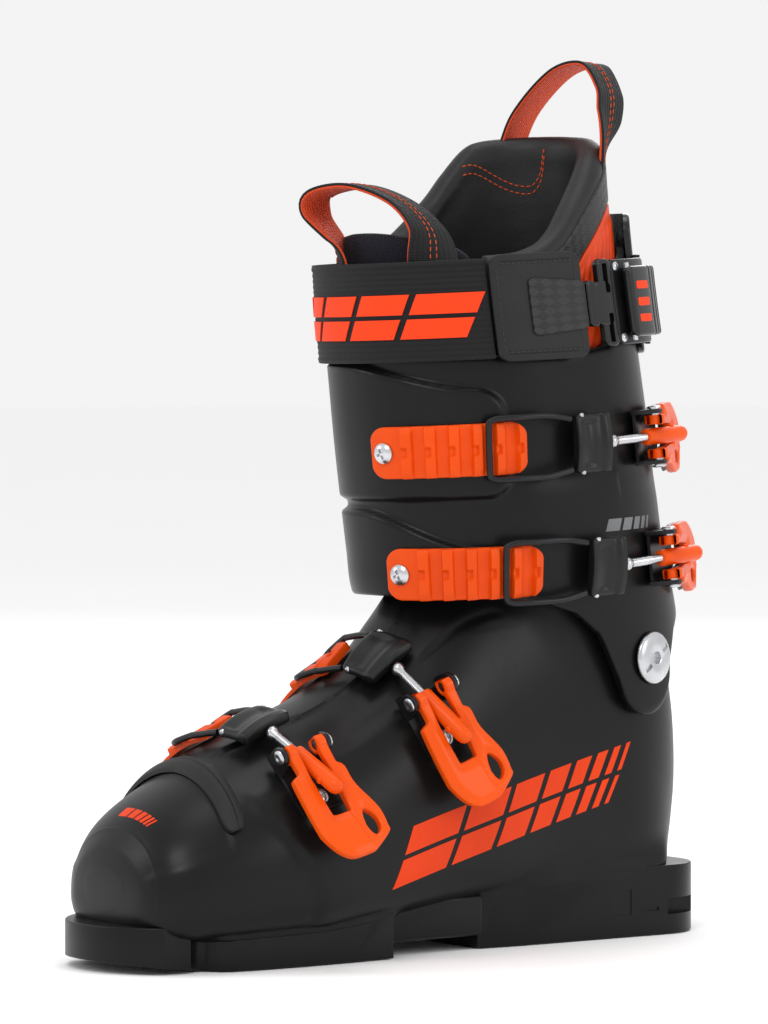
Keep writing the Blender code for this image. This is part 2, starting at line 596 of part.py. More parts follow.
def buckle(name, rows, index, slope, turn, lean, catch_at, bail_length, lobe, flap, far_teeth, near_teeth):
    """One buckle: base, lever on two pins, barrel, rod, catch, bail, ladder and ladder screw."""
    band = Band(rows, index, slope, turn)
    base_frame = band.frame()
    hinge = base_frame @ Matrix.Translation((-HINGE_BACK * MM, 0, HINGE_HEIGHT * MM))
    lever_frame = hinge @ Matrix.Rotation(math.radians(lean), 4, "Y")
    across_axis = Matrix.Rotation(math.radians(-90), 4, "X")

    base = box(name + "_base", (-15, -11.8, GAP), (13, 11.8, 1.7), base_frame, BLACK_STEEL, boot)
    for side in (-1, 1):
        ear = box(name + "_ear", (-17, min(side * 10, side * 11.8), GAP), (-6, max(side * 10, side * 11.8), 13),
                  base_frame)
        boolean(base, ear, "UNION")
    hole = cylinder(name + "_pin_hole", PIN_RADIUS + 0.3, -20, 20, hinge @ across_axis, sides=12)
    boolean(base, hole, "DIFFERENCE")

    lever = plate(name + "_lever", lever_outline(lobe), 4.6,
                  lever_frame @ Matrix.Translation((0, 0, 1.8 * MM)), ORANGE, boot)
    for side, label in ((-1, "front"), (1, "rear")):
        knuckle = cylinder(name + "_knuckle_" + label, 4.4, 5.2, 9.4,
                           hinge @ Matrix.Rotation(math.radians(-90 * side), 4, "X"), sides=14)
        boolean(lever, knuckle, "UNION")
    boolean(lever, hole, "DIFFERENCE")
    for side, label in ((-1, "front"), (1, "rear")):
        turned(name + "_pin_" + label, [(0, 13.3), (2.2, 13.3), (3.1, 12.2), (PIN_RADIUS, 12.2),
                                        (PIN_RADIUS, 5.6), (0, 5.6)],
               hinge @ Matrix.Rotation(math.radians(-90 * side), 4, "X"), BRIGHT_STEEL, 12)

    barrel_at = lever_frame @ (Vector((BARREL_PIVOT[0], 0, BARREL_PIVOT[1])) * MM)
    catch_rear = band.point(-catch_at, 0, 7.0)
    pull = (catch_rear - barrel_at).normalized()
    across = rotated(lever_frame, 1)
    across = (across - pull * across.dot(pull)).normalized()
    link = frame_matrix(barrel_at, across.cross(pull), across, pull)
    barrel = cylinder(name + "_barrel", BARREL_RADIUS, -9, 17, link, ORANGE, boot, 14)
    trunnion = cylinder(name + "_trunnion", 2.4, -4.8, 4.8, link @ across_axis, sides=12)
    boolean(barrel, trunnion, "UNION")
    reach = (catch_rear - barrel_at).length / MM
    turned(name + "_rod", [(0, reach - 0.9), (2.2, reach - 0.9), (2.6, reach - 2.5), (1.6, reach - 4.5),
                           (1.6, 17.4), (0, 17.4)], link, BRIGHT_STEEL, 12)

    def catch_point(u, v, side):
        return band.point(u, v * CATCH_HALF_WIDTH, (4.2, 10.2)[side] + flap * 0.3)
    front = -catch_at - CATCH_LENGTH
    slab(name + "_catch", catch_point, steps_between(front, -catch_at, 3), [-1, 1], SHELL_BLACK)

    cross = front - bail_length
    side_line = [(front - BAIL_EYE, 10.6), (front - 6, 11.6), (front - 14, 12.9), (cross + 12, 12.9),
                 (cross + 4, 12.9), (cross + 1.2, 12.3), (cross, 11.2)]
    heights = [5.6, 5.2, 5.0, 4.8, 4.8, 4.8, 4.8]
    lifts = [flap * 0.3 + flap * 0.7 * min(1.0, k / 3) for k in range(7)]
    half = [(d, w, h + lift) for (d, w), h, lift in zip(side_line, heights, lifts)]
    route = half + [(d, -w, h) for d, w, h in reversed(half)]
    wire(name + "_bail", [band.point(*step) for step in route], BAIL_RADIUS, BLACK_STEEL)

    profile = []
    start = cross - 2.3 - TOOTH_PITCH * far_teeth - 9
    profile += [(start, VALLEY), (start + 9 + 2.3, VALLEY)]
    for k in range(-far_teeth, near_teeth):
        first = cross + 2.3 + TOOTH_PITCH * k
        profile += [(first + 0.3, TOOTH_TOP - 0.6), (first + 1.6, TOOTH_TOP), (first + 4.1, TOOTH_TOP - 0.4),
                    (first + 4.4, VALLEY)]
        if k < near_teeth - 1:
            profile.append((first + TOOTH_PITCH - 0.1, VALLEY))
    tops = dict(profile)

    def ladder_point(u, v, side):
        return band.point(u, v * LADDER_HALF_WIDTH, flap + (tops[u] if side else 0.9))
    slab(name + "_ladder", ladder_point, [d for d, _ in profile], [-1, 1], ORANGE)
    screw_frame = band.frame(start + 6)
    lift = flap + VALLEY
    turned(name + "_ladder_screw", [(0, lift + 2.3), (2.4, lift + 2.1), (4.0, lift + 1.0), (4.0, lift + 0.7),
                                    (0, lift + 0.7)], screw_frame, BRIGHT_STEEL, 14)


def toe_gasket():
    """The rubber strip that arches over the toe box, where the shell's flaps meet it."""
    def point(u, v, side):
        height = (GAP, 3.6 - 1.6 * abs(2 * v - 1) ** 2)[side]
        return surface(SHELL, 4.15 + 0.5 * v - 0.15 * abs(u / 60), math.radians(u), height)
    slab("toe_gasket", point, steps_between(-64, 70, 14), steps_between(0, 1, 2), RUBBER)


shell_object = lower_shell()
cuff_object = cuff()
pivots(shell_object, cuff_object)
plate("boot_board", [board_outline()], BOARD_TOP - BOARD_BOTTOM,
      Matrix.Translation((CENTRE_X * MM, 0, (BOARD_TOP + BOARD_BOTTOM) / 2 * MM)), FOAM, boot)
liner()
pull_loops()
power_strap()
toe_gasket()
for values in BUCKLES:
    buckle(*values)
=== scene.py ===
"""The looks of the alpine ski boot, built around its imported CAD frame."""
import math

import bmesh
import bpy
import numpy as np
from mathutils import Matrix, Vector
from mathutils.bvhtree import BVHTree


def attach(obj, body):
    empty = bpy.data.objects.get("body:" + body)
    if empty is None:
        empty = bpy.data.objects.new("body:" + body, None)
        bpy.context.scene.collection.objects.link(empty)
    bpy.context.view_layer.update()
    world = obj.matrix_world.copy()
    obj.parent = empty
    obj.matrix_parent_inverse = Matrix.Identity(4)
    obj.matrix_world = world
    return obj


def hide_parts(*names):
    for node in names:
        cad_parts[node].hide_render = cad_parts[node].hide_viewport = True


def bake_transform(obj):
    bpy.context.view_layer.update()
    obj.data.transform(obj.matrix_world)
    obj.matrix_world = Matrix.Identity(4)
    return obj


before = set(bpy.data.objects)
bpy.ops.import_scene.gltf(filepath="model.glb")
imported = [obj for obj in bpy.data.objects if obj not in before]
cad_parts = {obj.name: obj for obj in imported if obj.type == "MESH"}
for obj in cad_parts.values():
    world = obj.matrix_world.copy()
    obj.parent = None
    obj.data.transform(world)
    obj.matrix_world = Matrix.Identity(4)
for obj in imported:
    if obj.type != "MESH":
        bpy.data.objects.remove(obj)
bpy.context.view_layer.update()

MM = 0.001
CENTRE_X = -6.5
SHELL_WALL = 4.6
CUFF_WALL = 4.2
CUFF_FLAP = 3.0
PIVOT_Y = 110.0
PIVOT_Z = 120.0
SOLE_LENGTH = 305.0
TOE_LUG_HEIGHT = 19.0
HEEL_LUG_HEIGHT = 30.0
STRAP_BOTTOM = 248.0
STRAP_TOP = 290.0

# A section joins a front (or top) point to a rear (or bottom) point: front y, z, rear y, z,
# lateral and medial half widths, place of the widest point, roundness of the front and rear halves.
SHELL = np.array([
    (-141, 42, -141, 24, 14, 14, 0.50, 2.0, 2.2),
    (-139, 51, -140, 17, 27, 26, 0.42, 2.0, 2.6),
    (-134, 60, -136, 13, 36, 34, 0.40, 2.1, 3.0),
    (-125, 68, -127, 11, 43, 41, 0.38, 2.1, 3.4),
    (-110, 77, -110, 10, 48, 46, 0.36, 2.1, 3.6),
    (-90, 87, -88, 10, 51, 48, 0.36, 2.1, 3.6),
    (-66, 97, -60, 10, 52, 48, 0.36, 2.1, 3.4),
    (-40, 107, -30, 12, 49, 45, 0.38, 2.1, 3.2),
    (-14, 123, 5, 13, 45, 42, 0.42, 2.2, 3.0),
    (1, 140, 40, 13, 43, 40, 0.46, 2.2, 2.8),
    (12, 154, 75, 13, 41, 39, 0.50, 2.2, 2.7),
    (20, 163, 110, 15, 40, 39, 0.52, 2.2, 2.7),
    (25, 168, 137, 22, 40, 39, 0.52, 2.2, 2.6),
    (27, 171, 146, 50, 40, 39, 0.50, 2.2, 2.4),
    (28, 173, 147, 85, 40, 39, 0.50, 2.2, 2.3),
    (28, 175, 142, 118, 40, 39, 0.50, 2.2, 2.2),
    (29, 177, 134, 148, 39, 38, 0.50, 2.2, 2.0),
    (31, 195, 128, 178, 39, 38, 0.50, 2.2, 2.0),
], float)
CUFF = np.array([
    (24, 84, 153, 84, 47.0, 46, 0.5, 2.3, 2.2),
    (20, 101, 152, 103, 47.5, 46, 0.5, 2.3, 2.2),
    (12, 120, 150, 122, 48.0, 47, 0.5, 2.3, 2.2),
    (3, 138, 147, 142, 49.0, 48, 0.5, 2.2, 2.2),
    (-4, 152, 143, 158, 50.0, 49, 0.5, 2.2, 2.2),
    (-6, 168, 138, 174, 51.5, 50, 0.5, 2.2, 2.2),
    (-9, 192, 134, 198, 52.0, 51, 0.5, 2.2, 2.2),
    (-12, 215, 130, 222, 52.0, 51, 0.5, 2.2, 2.2),
    (-15, 243, 125, 250, 52.0, 51, 0.5, 2.2, 2.2),
    (-18, 268, 121, 275, 51.0, 50, 0.5, 2.2, 2.2),
    (-20, 290, 118, 298, 50.0, 49, 0.5, 2.2, 2.2),
    (-22, 318, 115, 326, 49.0, 48, 0.5, 2.2, 2.2),
    (-23, 345, 113, 353, 49.0, 48, 0.5, 2.2, 2.2),
], float)


# ---------------------------------------------------------------- surfaces

def smooth(value):
    """A soft step from 0 to 1."""
    value = np.clip(value, 0.0, 1.0)
    return value * value * (3 - 2 * value)


def unit(vectors):
    """Vectors of length one."""
    return vectors / np.linalg.norm(vectors, axis=-1, keepdims=True)


def section(rows, index):
    """Section values at fractional indices, on a smooth curve through the rows."""
    index = np.asarray(index, float)
    low = np.clip(np.floor(index).astype(int), 0, len(rows) - 2)
    u = (index - low)[..., None]
    a, b, c, d = (rows[np.clip(low + k, 0, len(rows) - 1)] for k in (-1, 0, 1, 2))
    return 0.5 * (2 * b + (c - a) * u + (2 * a - 5 * b + 4 * c - d) * u ** 2
                  + (3 * b - a - 3 * c + d) * u ** 3)


def skin(rows, index, turn, offset=0.0):
    """Points of the skin in metres: turn 0 is the front, a quarter turn the lateral side."""
    index, turn, offset = np.broadcast_arrays(np.asarray(index, float), turn, offset)
    fy, fz, ry, rz, lateral, medial, widest, front_n, rear_n = np.moveaxis(section(rows, index), -1,
                                                                           0)
    front = np.stack([fy * 0, fy, fz], -1)
    rear = np.stack([fy * 0, ry, rz], -1)
    axis = unit(front - rear)
    front = front + axis * offset[..., None]
    rear = rear - axis * offset[..., None]
    middle = rear + (front - rear) * widest[..., None]
    c, s = np.cos(turn), np.sin(turn)
    exponent = 2.0 / np.where(c > 0, front_n, rear_n)
    reach = np.where(c > 0, np.linalg.norm(front - middle, axis=-1),
                     np.linalg.norm(middle - rear, axis=-1))
    width = np.where(s > 0, lateral, medial) + offset
    along = np.sign(c) * np.abs(c) ** exponent * reach
    across = np.sign(s) * np.abs(s) ** exponent * width
    points = middle + axis * along[..., None]
    points[..., 0] += across + CENTRE_X
    return points * MM


def cuff_index(height):
    """The cuff section whose front point is at a height."""
    return np.interp(height, CUFF[:, 1], np.arange(len(CUFF)))


def cuff_skin(turn_degrees, height, offset=0.0):
    """A point of the cuff's skin, by turn in degrees and height in millimetres."""
    return skin(CUFF, cuff_index(height), np.radians(turn_degrees), offset)


# ---------------------------------------------------------------- meshes

def new_mesh(name, verts, faces, uvs=None, sharp=40.0):
    """A mesh with outward faces, smooth shading and, where given, one UV per vertex."""
    mesh = bpy.data.meshes.new(name)
    mesh.from_pydata([tuple(v) for v in verts], [], [tuple(int(i) for i in f) for f in faces])
    if uvs is not None:
        layer = mesh.uv_layers.new(name="UVMap")
        loops = np.empty(len(mesh.loops), int)
        mesh.loops.foreach_get("vertex_index", loops)
        layer.data.foreach_set("uv", np.asarray(uvs, np.float32)[loops].ravel())
    bm = bmesh.new()
    bm.from_mesh(mesh)
    bmesh.ops.recalc_face_normals(bm, faces=bm.faces)
    if bm.calc_volume(signed=True) < 0:
        bmesh.ops.reverse_faces(bm, faces=bm.faces)
    bm.to_mesh(mesh)
    bm.free()
    mesh.shade_smooth()
    mesh.set_sharp_from_angle(angle=math.radians(sharp))
    return mesh


def grid_faces(count_u, count_v, wrap_u, wrap_v):
    """Quads of a grid of vertices, row after row."""
    u = np.arange(count_u if wrap_u else count_u - 1)
    v = np.arange(count_v if wrap_v else count_v - 1)
    u, v = (g.ravel() for g in np.meshgrid(u, v, indexing="ij"))
    u2, v2 = (u + 1) % count_u, (v + 1) % count_v
    return np.stack([u * count_v + v, u2 * count_v + v, u2 * count_v + v2, u * count_v + v2], -1)


def grid_mesh(name, points, wrap_u=False, wrap_v=True, uvs=None, sharp=40.0):
    """A grid of points as a mesh; a grid that wraps in v only gets end caps."""
    count_u, count_v = points.shape[:2]
    faces = [tuple(f) for f in grid_faces(count_u, count_v, wrap_u, wrap_v)]
    if wrap_v and not wrap_u:
        faces.append(tuple(range(count_v)))
        faces.append(tuple(range((count_u - 1) * count_v, count_u * count_v)))
    flat = None if uvs is None else np.asarray(uvs).reshape(-1, 2)
    return new_mesh(name, points.reshape(-1, 3), faces, flat, sharp)


def piece(name, mesh, material, body, slot=None, replaces=()):
    """Put a mesh in the scene, on its body, standing for its CAD nodes."""
    made = bpy.data.objects.new(name, mesh)
    bpy.context.scene.collection.objects.link(made)
    if material:
        mesh.materials.clear()
        mesh.materials.append(material)
    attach(made, body)
    if replaces:
        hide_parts(*replaces)
    return made


def evaluated_mesh(made, name):
    """The mesh an object has after its modifiers."""
    bpy.context.view_layer.update()
    shown = made.evaluated_get(bpy.context.evaluated_depsgraph_get())
    mesh = bpy.data.meshes.new_from_object(shown)
    mesh.name = name
    return mesh


def loose(mesh):
    """A mesh in an object that only lives while a piece is made."""
    made = bpy.data.objects.new(mesh.name + "_loose", mesh)
    bpy.context.scene.collection.objects.link(made)
    return made


def combined(base, tools, name, sharp=35.0):
    """A mesh cut and joined with others: tools are (mesh, operation) pairs."""
    body = loose(base)
    others = []
    for mesh, operation in tools:
        other = loose(mesh)
        others.append(other)
        modifier = body.modifiers.new(operation, "BOOLEAN")
        modifier.operation = operation
        modifier.solver = "EXACT"
        modifier.object = other
    mesh = evaluated_mesh(body, name)
    for made in [body, *others]:
        bpy.data.objects.remove(made, do_unlink=True)
    mesh.shade_smooth()
    mesh.set_sharp_from_angle(angle=math.radians(sharp))
    return mesh


def bevelled(mesh, width, segments):
    """A mesh with its sharp edges rounded."""
    made = loose(mesh)
    modifier = made.modifiers.new("bevel", "BEVEL")
    modifier.width = width * MM
    modifier.segments = segments
    modifier.limit_method = "ANGLE"
    modifier.angle_limit = math.radians(35)
    rounded_mesh = evaluated_mesh(made, mesh.name)
    bpy.data.objects.remove(made, do_unlink=True)
    rounded_mesh.shade_smooth()
    rounded_mesh.set_sharp_from_angle(angle=math.radians(50))
    return rounded_mesh


def joined(name, meshes):
    """Several meshes as one."""
    bm = bmesh.new()
    for mesh in meshes:
        bm.from_mesh(mesh)
    made = bpy.data.meshes.new(name)
    bm.to_mesh(made)
    bm.free()
    return made


def box_mesh(name, low, high, matrix):
    """A box between two corners in millimetres."""
    bm = bmesh.new()
    middle = [(a + b) / 2 * MM for a, b in zip(low, high)]
    size = [(b - a) * MM for a, b in zip(low, high)]
    bmesh.ops.create_cube(bm, size=1.0,
                          matrix=Matrix.Translation(middle) @ Matrix.Diagonal((*size, 1)))
    bm.transform(matrix)
    mesh = bpy.data.meshes.new(name)
    bm.to_mesh(mesh)
    bm.free()
    return mesh


def prism_mesh(name, outline, low, high, matrix):
    """An outline in XY as a solid between two heights, in millimetres."""
    bm = bmesh.new()
    bottom = [bm.verts.new((x * MM, y * MM, low * MM)) for x, y in outline]
    top = [bm.verts.new((x * MM, y * MM, high * MM)) for x, y in outline]
    bm.faces.new(bottom)
    bm.faces.new(top)
    for k in range(len(outline)):
        n = (k + 1) % len(outline)
        bm.faces.new((bottom[k], bottom[n], top[n], top[k]))
    bmesh.ops.recalc_face_normals(bm, faces=bm.faces)
    bm.transform(matrix)
    mesh = bpy.data.meshes.new(name)
    bm.to_mesh(mesh)
    bm.free()
    return mesh


def turned_mesh(name, profile, matrix, sides=32, sharp=35.0):
    """A turned solid from (radius, height) pairs, in millimetres."""
    turns = np.linspace(0, 2 * np.pi, sides, endpoint=False)
    r = np.maximum(np.array([p[0] for p in profile], float), 0.001)
    z = np.array([p[1] for p in profile], float)
    points = np.stack([r[:, None] * np.cos(turns), r[:, None] * np.sin(turns),
                       np.repeat(z[:, None], sides, 1)], -1) * MM
    mesh = grid_mesh(name, points, wrap_u=False, wrap_v=True, sharp=sharp)
    mesh.transform(matrix)
    return mesh


def ring(centre, radius, ahead, side, angles):
    """A circle round a centre in metres, square to a direction; radius in millimetres."""
    other = np.cross(ahead, side)
    return centre + radius * MM * (np.cos(angles)[:, None] * side + np.sin(angles)[:, None] * other)


def tube_mesh(name, points, radius, sides):
    """A round wire along points in metres; radius in millimetres."""
    points = np.asarray(points, float)
    tangent = unit(np.gradient(points, axis=0))
    side = unit(np.cross(tangent[0], (0.3, 0.2, 1.0)))
    angles = np.linspace(0, 2 * np.pi, sides, endpoint=False)
    rings = []
    for centre, ahead in zip(points, tangent):
        side = unit(side - ahead * side.dot(ahead))
        rings.append(ring(centre, radius, ahead, side, angles))
    return grid_mesh(name, np.array(rings))


def curve_through(points, per_step=8, closed=False):
    """Points on a smooth curve through the given ones."""
    points = np.asarray(points, float)
    if closed:
        rows = np.concatenate([points[-1:], points, points[:2]])
        index = np.linspace(1, len(points) + 1, len(points) * per_step, endpoint=False)
    else:
        rows = points
        index = np.linspace(0, len(points) - 1, (len(points) - 1) * per_step + 1)
    return section(rows, index)


def stitches(name, path, spacing, length, radius):
    """Threads lying along a path in metres: short beads with gaps between them."""
    path = np.asarray(path, float)
    steps = np.linalg.norm(np.diff(path, axis=0), axis=1)
    distance = np.concatenate([[0], np.cumsum(steps)])
    angles = np.linspace(0, 2 * np.pi, 6, endpoint=False)
    meshes = []
    position = spacing * 0.5
    while position * MM + length * MM < distance[-1]:
        ends = []
        for share in (0.0, 0.2, 0.5, 0.8, 1.0):
            at = position * MM + length * MM * share
            ends.append([np.interp(at, distance, path[:, k]) for k in range(3)])
        ends = np.array(ends)
        direction = unit(ends[-1] - ends[0])
        side = unit(np.cross(direction, (0.37, 0.21, 0.9)))
        rings = [ring(end, radius * size, direction, side, angles)
                 for end, size in zip(ends, (0.35, 0.9, 1.0, 0.9, 0.35))]
        meshes.append(grid_mesh(name, np.array(rings)))
        position += spacing
    return joined(name, meshes)


def spread(low, high, step, edge):
    """Stations from low to high, closer together at both ends."""
    near = np.array([0.0, 0.13, 0.4, 1.0]) * edge
    count = max(2, int(round((high - low - 2 * edge) / step)) + 1)
    inner = np.linspace(low + edge, high - edge, count)
    return np.concatenate([low + near[:-1], inner, (high - near[:-1])[::-1]])


def quarter(distance, radius):
    """How far a rounded edge lies below its flat top, at a distance from the rim."""
    inside = np.clip(radius - distance, 0, radius)
    return radius - np.sqrt(np.maximum(radius ** 2 - inside ** 2, 0))


def slab_mesh(name, upper, lower, uv, sharp):
    """Two grids of points, one above the other, closed round their rims."""
    count_u, count_v = upper.shape[:2]
    faces = grid_faces(count_u, count_v, False, False)
    total = count_u * count_v
    rim = ([(i, 0) for i in range(count_u)] + [(count_u - 1, j) for j in range(1, count_v)]
           + [(i, count_v - 1) for i in range(count_u - 2, -1, -1)]
           + [(0, j) for j in range(count_v - 2, 0, -1)])
    ids = [i * count_v + j for i, j in rim]
    wall = [(a, b, b + total, a + total) for a, b in zip(ids, ids[1:] + ids[:1])]
    verts = np.concatenate([upper.reshape(-1, 3), lower.reshape(-1, 3)])
    uvs = None if uv is None else np.concatenate([uv, uv])
    return new_mesh(name, verts, [*faces, *(faces + total), *wall], uvs, sharp)


def plate_mesh(name, place, low, high, half_width, top, bottom, edge=0.8, corner=2.0, step=1.2,
               across=12, both=False, sharp=50.0):
    """A plate with rounded edges and corners. place(u, v, h) puts a point of it in space, u along,
    v across and h up, all in millimetres; top and bottom are heights or functions of u and v."""
    us = spread(low, high, step, edge)
    ts = spread(-half_width, half_width, 2 * half_width / across, edge) / half_width
    u, t = np.meshgrid(us, ts, indexing="ij")
    end = np.minimum(u - low, high - u)
    width = half_width - quarter(end, corner) if corner else half_width + 0 * u
    v = t * width
    rim = np.minimum(end, width - np.abs(v))
    high_side = (top(u, v) if callable(top) else top) - quarter(rim, edge)
    low_side = (bottom(u, v) if callable(bottom) else bottom) + (quarter(rim, edge) if both else 0)
    uv = np.stack([u, v], -1).reshape(-1, 2) * 0.01
    return slab_mesh(name, place(u, v, high_side), place(u, v, low_side + 0 * u), uv, sharp)


DEGREE_LENGTH = 0.9      # millimetres round the cuff for each degree of turn


def on_cuff(height_middle):
    """Where plates on the cuff go: u is along the turn, v is height."""
    def place(u, v, h):
        return cuff_skin(u / DEGREE_LENGTH, height_middle + v, h)
    return place


# ---------------------------------------------------------------- materials

class Paint:
    """A node material that is put together step by step."""

    def __init__(self, name, colour, roughness, metallic=0.0):
        self.material = bpy.data.materials.new(name)
        self.material.use_nodes = True
        self.nodes = self.material.node_tree.nodes
        self.links = self.material.node_tree.links
        self.shader = self.nodes["Principled BSDF"]
        self.colour = colour
        self.shader.inputs["Base Color"].default_value = (*colour, 1.0)
        self.shader.inputs["Roughness"].default_value = roughness
        self.shader.inputs["Metallic"].default_value = metallic
        self.coordinates = self.nodes.new("ShaderNodeTexCoord")
        self.normal = None

    def set(self, socket, value):
        """A constant on the shader's own socket."""
        self.shader.inputs[socket].default_value = value
        return self

    def mapped(self, source, stretch=None, turn=0.0):
        """Texture coordinates, stretched and turned where asked."""
        socket = self.coordinates.outputs[source]
        if stretch is None and not turn:
            return socket
        mapping = self.nodes.new("ShaderNodeMapping")
        mapping.inputs["Scale"].default_value = stretch or (1, 1, 1)
        mapping.inputs["Rotation"].default_value = (0, 0, turn)
        self.links.new(socket, mapping.inputs["Vector"])
        return mapping.outputs["Vector"]

    def noise(self, scale, detail=2.0, stretch=None):
        """A noise texture; scale is features for each metre."""
        made = self.nodes.new("ShaderNodeTexNoise")
        made.inputs["Scale"].default_value = scale
        made.inputs["Detail"].default_value = detail
        self.links.new(self.mapped("Object", stretch), made.inputs["Vector"])
        return made.outputs["Fac"]

    def wave(self, pitch, degrees=0.0):
        """Bands about a pitch in millimetres apart; a UV unit is 100 mm."""
        made = self.nodes.new("ShaderNodeTexWave")
        made.bands_direction = "X"
        made.inputs["Scale"].default_value = 100 / pitch / math.pi
        self.links.new(self.mapped("UV", None, math.radians(degrees)), made.inputs["Vector"])
        return made.outputs["Fac"]

    def cells(self, scale):
        """A cell texture, for leather grain."""
        made = self.nodes.new("ShaderNodeTexVoronoi")
        made.inputs["Scale"].default_value = scale
        self.links.new(self.mapped("Object"), made.inputs["Vector"])
        return made.outputs["Distance"]

    def math(self, operation, a, b):
        """A sum, product or other step with two values."""
        made = self.nodes.new("ShaderNodeMath")
        made.operation = operation
        for socket, value in zip(made.inputs, (a, b)):
            if isinstance(value, (int, float)):
                socket.default_value = value
            else:
                self.links.new(value, socket)
        return made.outputs[0]

    def mix(self, a, share_a, b, share_b):
        """A weighted sum of two values."""
        return self.math("ADD", self.math("MULTIPLY", a, share_a),
                         self.math("MULTIPLY", b, share_b))

    def ramp(self, value, low, high, low_colour, high_colour):
        """A colour that runs between two with a value."""
        made = self.nodes.new("ShaderNodeValToRGB")
        made.color_ramp.elements[0].position = low
        made.color_ramp.elements[1].position = high
        made.color_ramp.elements[0].color = (*low_colour, 1)
        made.color_ramp.elements[1].color = (*high_colour, 1)
        self.links.new(value, made.inputs["Fac"])
        return made.outputs["Color"]

    def tint(self, value, low, high, darker, lighter):
        """Vary the base colour between two strengths of itself."""
        shades = [tuple(min(1.0, c * k) for c in self.colour) for k in (darker, lighter)]
        self.links.new(self.ramp(value, low, high, *shades), self.shader.inputs["Base Color"])
        return self

    def rough(self, value, low, high):
        """Vary the roughness between two values."""
        made = self.nodes.new("ShaderNodeMapRange")
        made.inputs["To Min"].default_value = low
        made.inputs["To Max"].default_value = high
        self.links.new(value, made.inputs["Value"])
        self.links.new(made.outputs["Result"], self.shader.inputs["Roughness"])
        return self

    def bump(self, value, height, strength=1.0):
        """Add relief of a height in millimetres."""
        made = self.nodes.new("ShaderNodeBump")
        made.inputs["Distance"].default_value = height * MM
        made.inputs["Strength"].default_value = strength
        self.links.new(value, made.inputs["Height"])
        if self.normal is not None:
            self.links.new(self.normal, made.inputs["Normal"])
        self.normal = made.outputs["Normal"]
        self.links.new(self.normal, self.shader.inputs["Normal"])
        return self

    def done(self):
        """The finished material."""
        return self.material


def moulded(name, colour, roughness, grain=0.03, coat=0.0, spread_of_colour=0.12, specular=0.3):
    """Moulded plastic: fine sandblast grain, faint flow marks and handling scuffs."""
    paint = Paint(name, colour, roughness)
    fine = paint.noise(2600, 3)
    flow = paint.noise(34, 4, (1, 1, 0.35))
    scuff = paint.noise(240, 6, (1, 3.0, 1))
    paint.tint(flow, 0.3, 0.75, 1 - spread_of_colour, 1 + spread_of_colour)
    paint.rough(paint.mix(flow, 0.6, scuff, 0.4), roughness - 0.09, roughness + 0.1)
    paint.bump(fine, grain).bump(paint.noise(420, 2), grain * 0.8)
    paint.set("Specular IOR Level", specular)
    if coat:
        paint.set("Coat Weight", coat).set("Coat Roughness", 0.15)
    return paint.done()


def metal(name, colour, roughness, metallic=1.0):
    """Steel with faint brushing and small scratches."""
    paint = Paint(name, colour, roughness, metallic)
    brushed = paint.noise(700, 4, (1, 1, 12))
    paint.tint(paint.noise(90, 3), 0.3, 0.7, 0.85, 1.1)
    paint.rough(brushed, max(0.05, roughness - 0.1), roughness + 0.12)
    paint.bump(brushed, 0.012)
    return paint.done()


def webbing(name, colour, pitch, roughness=0.75):
    """Woven strap: ribs along the strap with a cross weave, on UVs in tenths of a metre."""
    paint = Paint(name, colour, roughness)
    weave = paint.mix(paint.wave(pitch, 90), 0.65, paint.wave(0.9), 0.35)
    fuzz = paint.noise(3000, 3)
    paint.tint(paint.mix(weave, 0.7, fuzz, 0.3), 0.2, 0.8, 0.6, 1.35)
    paint.rough(fuzz, roughness - 0.1, min(1.0, roughness + 0.12))
    paint.bump(weave, 0.28).bump(fuzz, 0.06)
    paint.set("Sheen Weight", 0.05).set("Sheen Roughness", 0.5).set("Specular IOR Level", 0.25)
    return paint.done()


def leather(name, colour, roughness, grain=0.06):
    """Smooth synthetic leather with a fine pebbled grain and soft creases."""
    paint = Paint(name, colour, roughness)
    pebble = paint.cells(1300)
    crease = paint.noise(60, 5, (1, 1, 2.2))
    paint.tint(crease, 0.3, 0.7, 0.82, 1.2)
    paint.rough(paint.mix(pebble, 0.5, crease, 0.5), roughness - 0.08, roughness + 0.12)
    paint.bump(pebble, grain).bump(crease, 0.35, 0.6).set("Specular IOR Level", 0.3)
    return paint.done()


def cloth(name, colour, cell, roughness=0.82):
    """Knitted mesh fabric: small open cells in rows, on UVs in tenths of a metre."""
    paint = Paint(name, colour, roughness)
    knit = paint.math("MULTIPLY", paint.wave(cell, 45), paint.wave(cell, -45))
    fuzz = paint.noise(4200, 3)
    paint.tint(paint.mix(knit, 0.75, fuzz, 0.25), 0.1, 0.7, 1.5, 0.55)
    paint.rough(fuzz, roughness - 0.1, min(1.0, roughness + 0.1))
    paint.bump(paint.math("MULTIPLY", knit, -1.0), 0.3).bump(fuzz, 0.05)
    paint.set("Sheen Weight", 0.06).set("Sheen Roughness", 0.45).set("Specular IOR Level", 0.2)
    return paint.done()


def twill(name, colour, cell, roughness=0.35):
    """Embossed carbon-like twill: slanted bundles in steps, on UVs in tenths of a metre."""
    paint = Paint(name, colour, roughness)
    checker = paint.nodes.new("ShaderNodeTexChecker")
    checker.inputs["Scale"].default_value = 100 / cell
    paint.links.new(paint.mapped("UV", None, math.radians(45)), checker.inputs["Vector"])
    pattern = paint.mix(checker.outputs["Fac"], 0.6, paint.wave(0.55, 45), 0.4)
    paint.tint(pattern, 0.1, 0.9, 0.4, 2.6)
    paint.rough(pattern, roughness - 0.08, roughness + 0.2)
    paint.bump(pattern, 0.3).set("Specular IOR Level", 0.35)
    return paint.done()


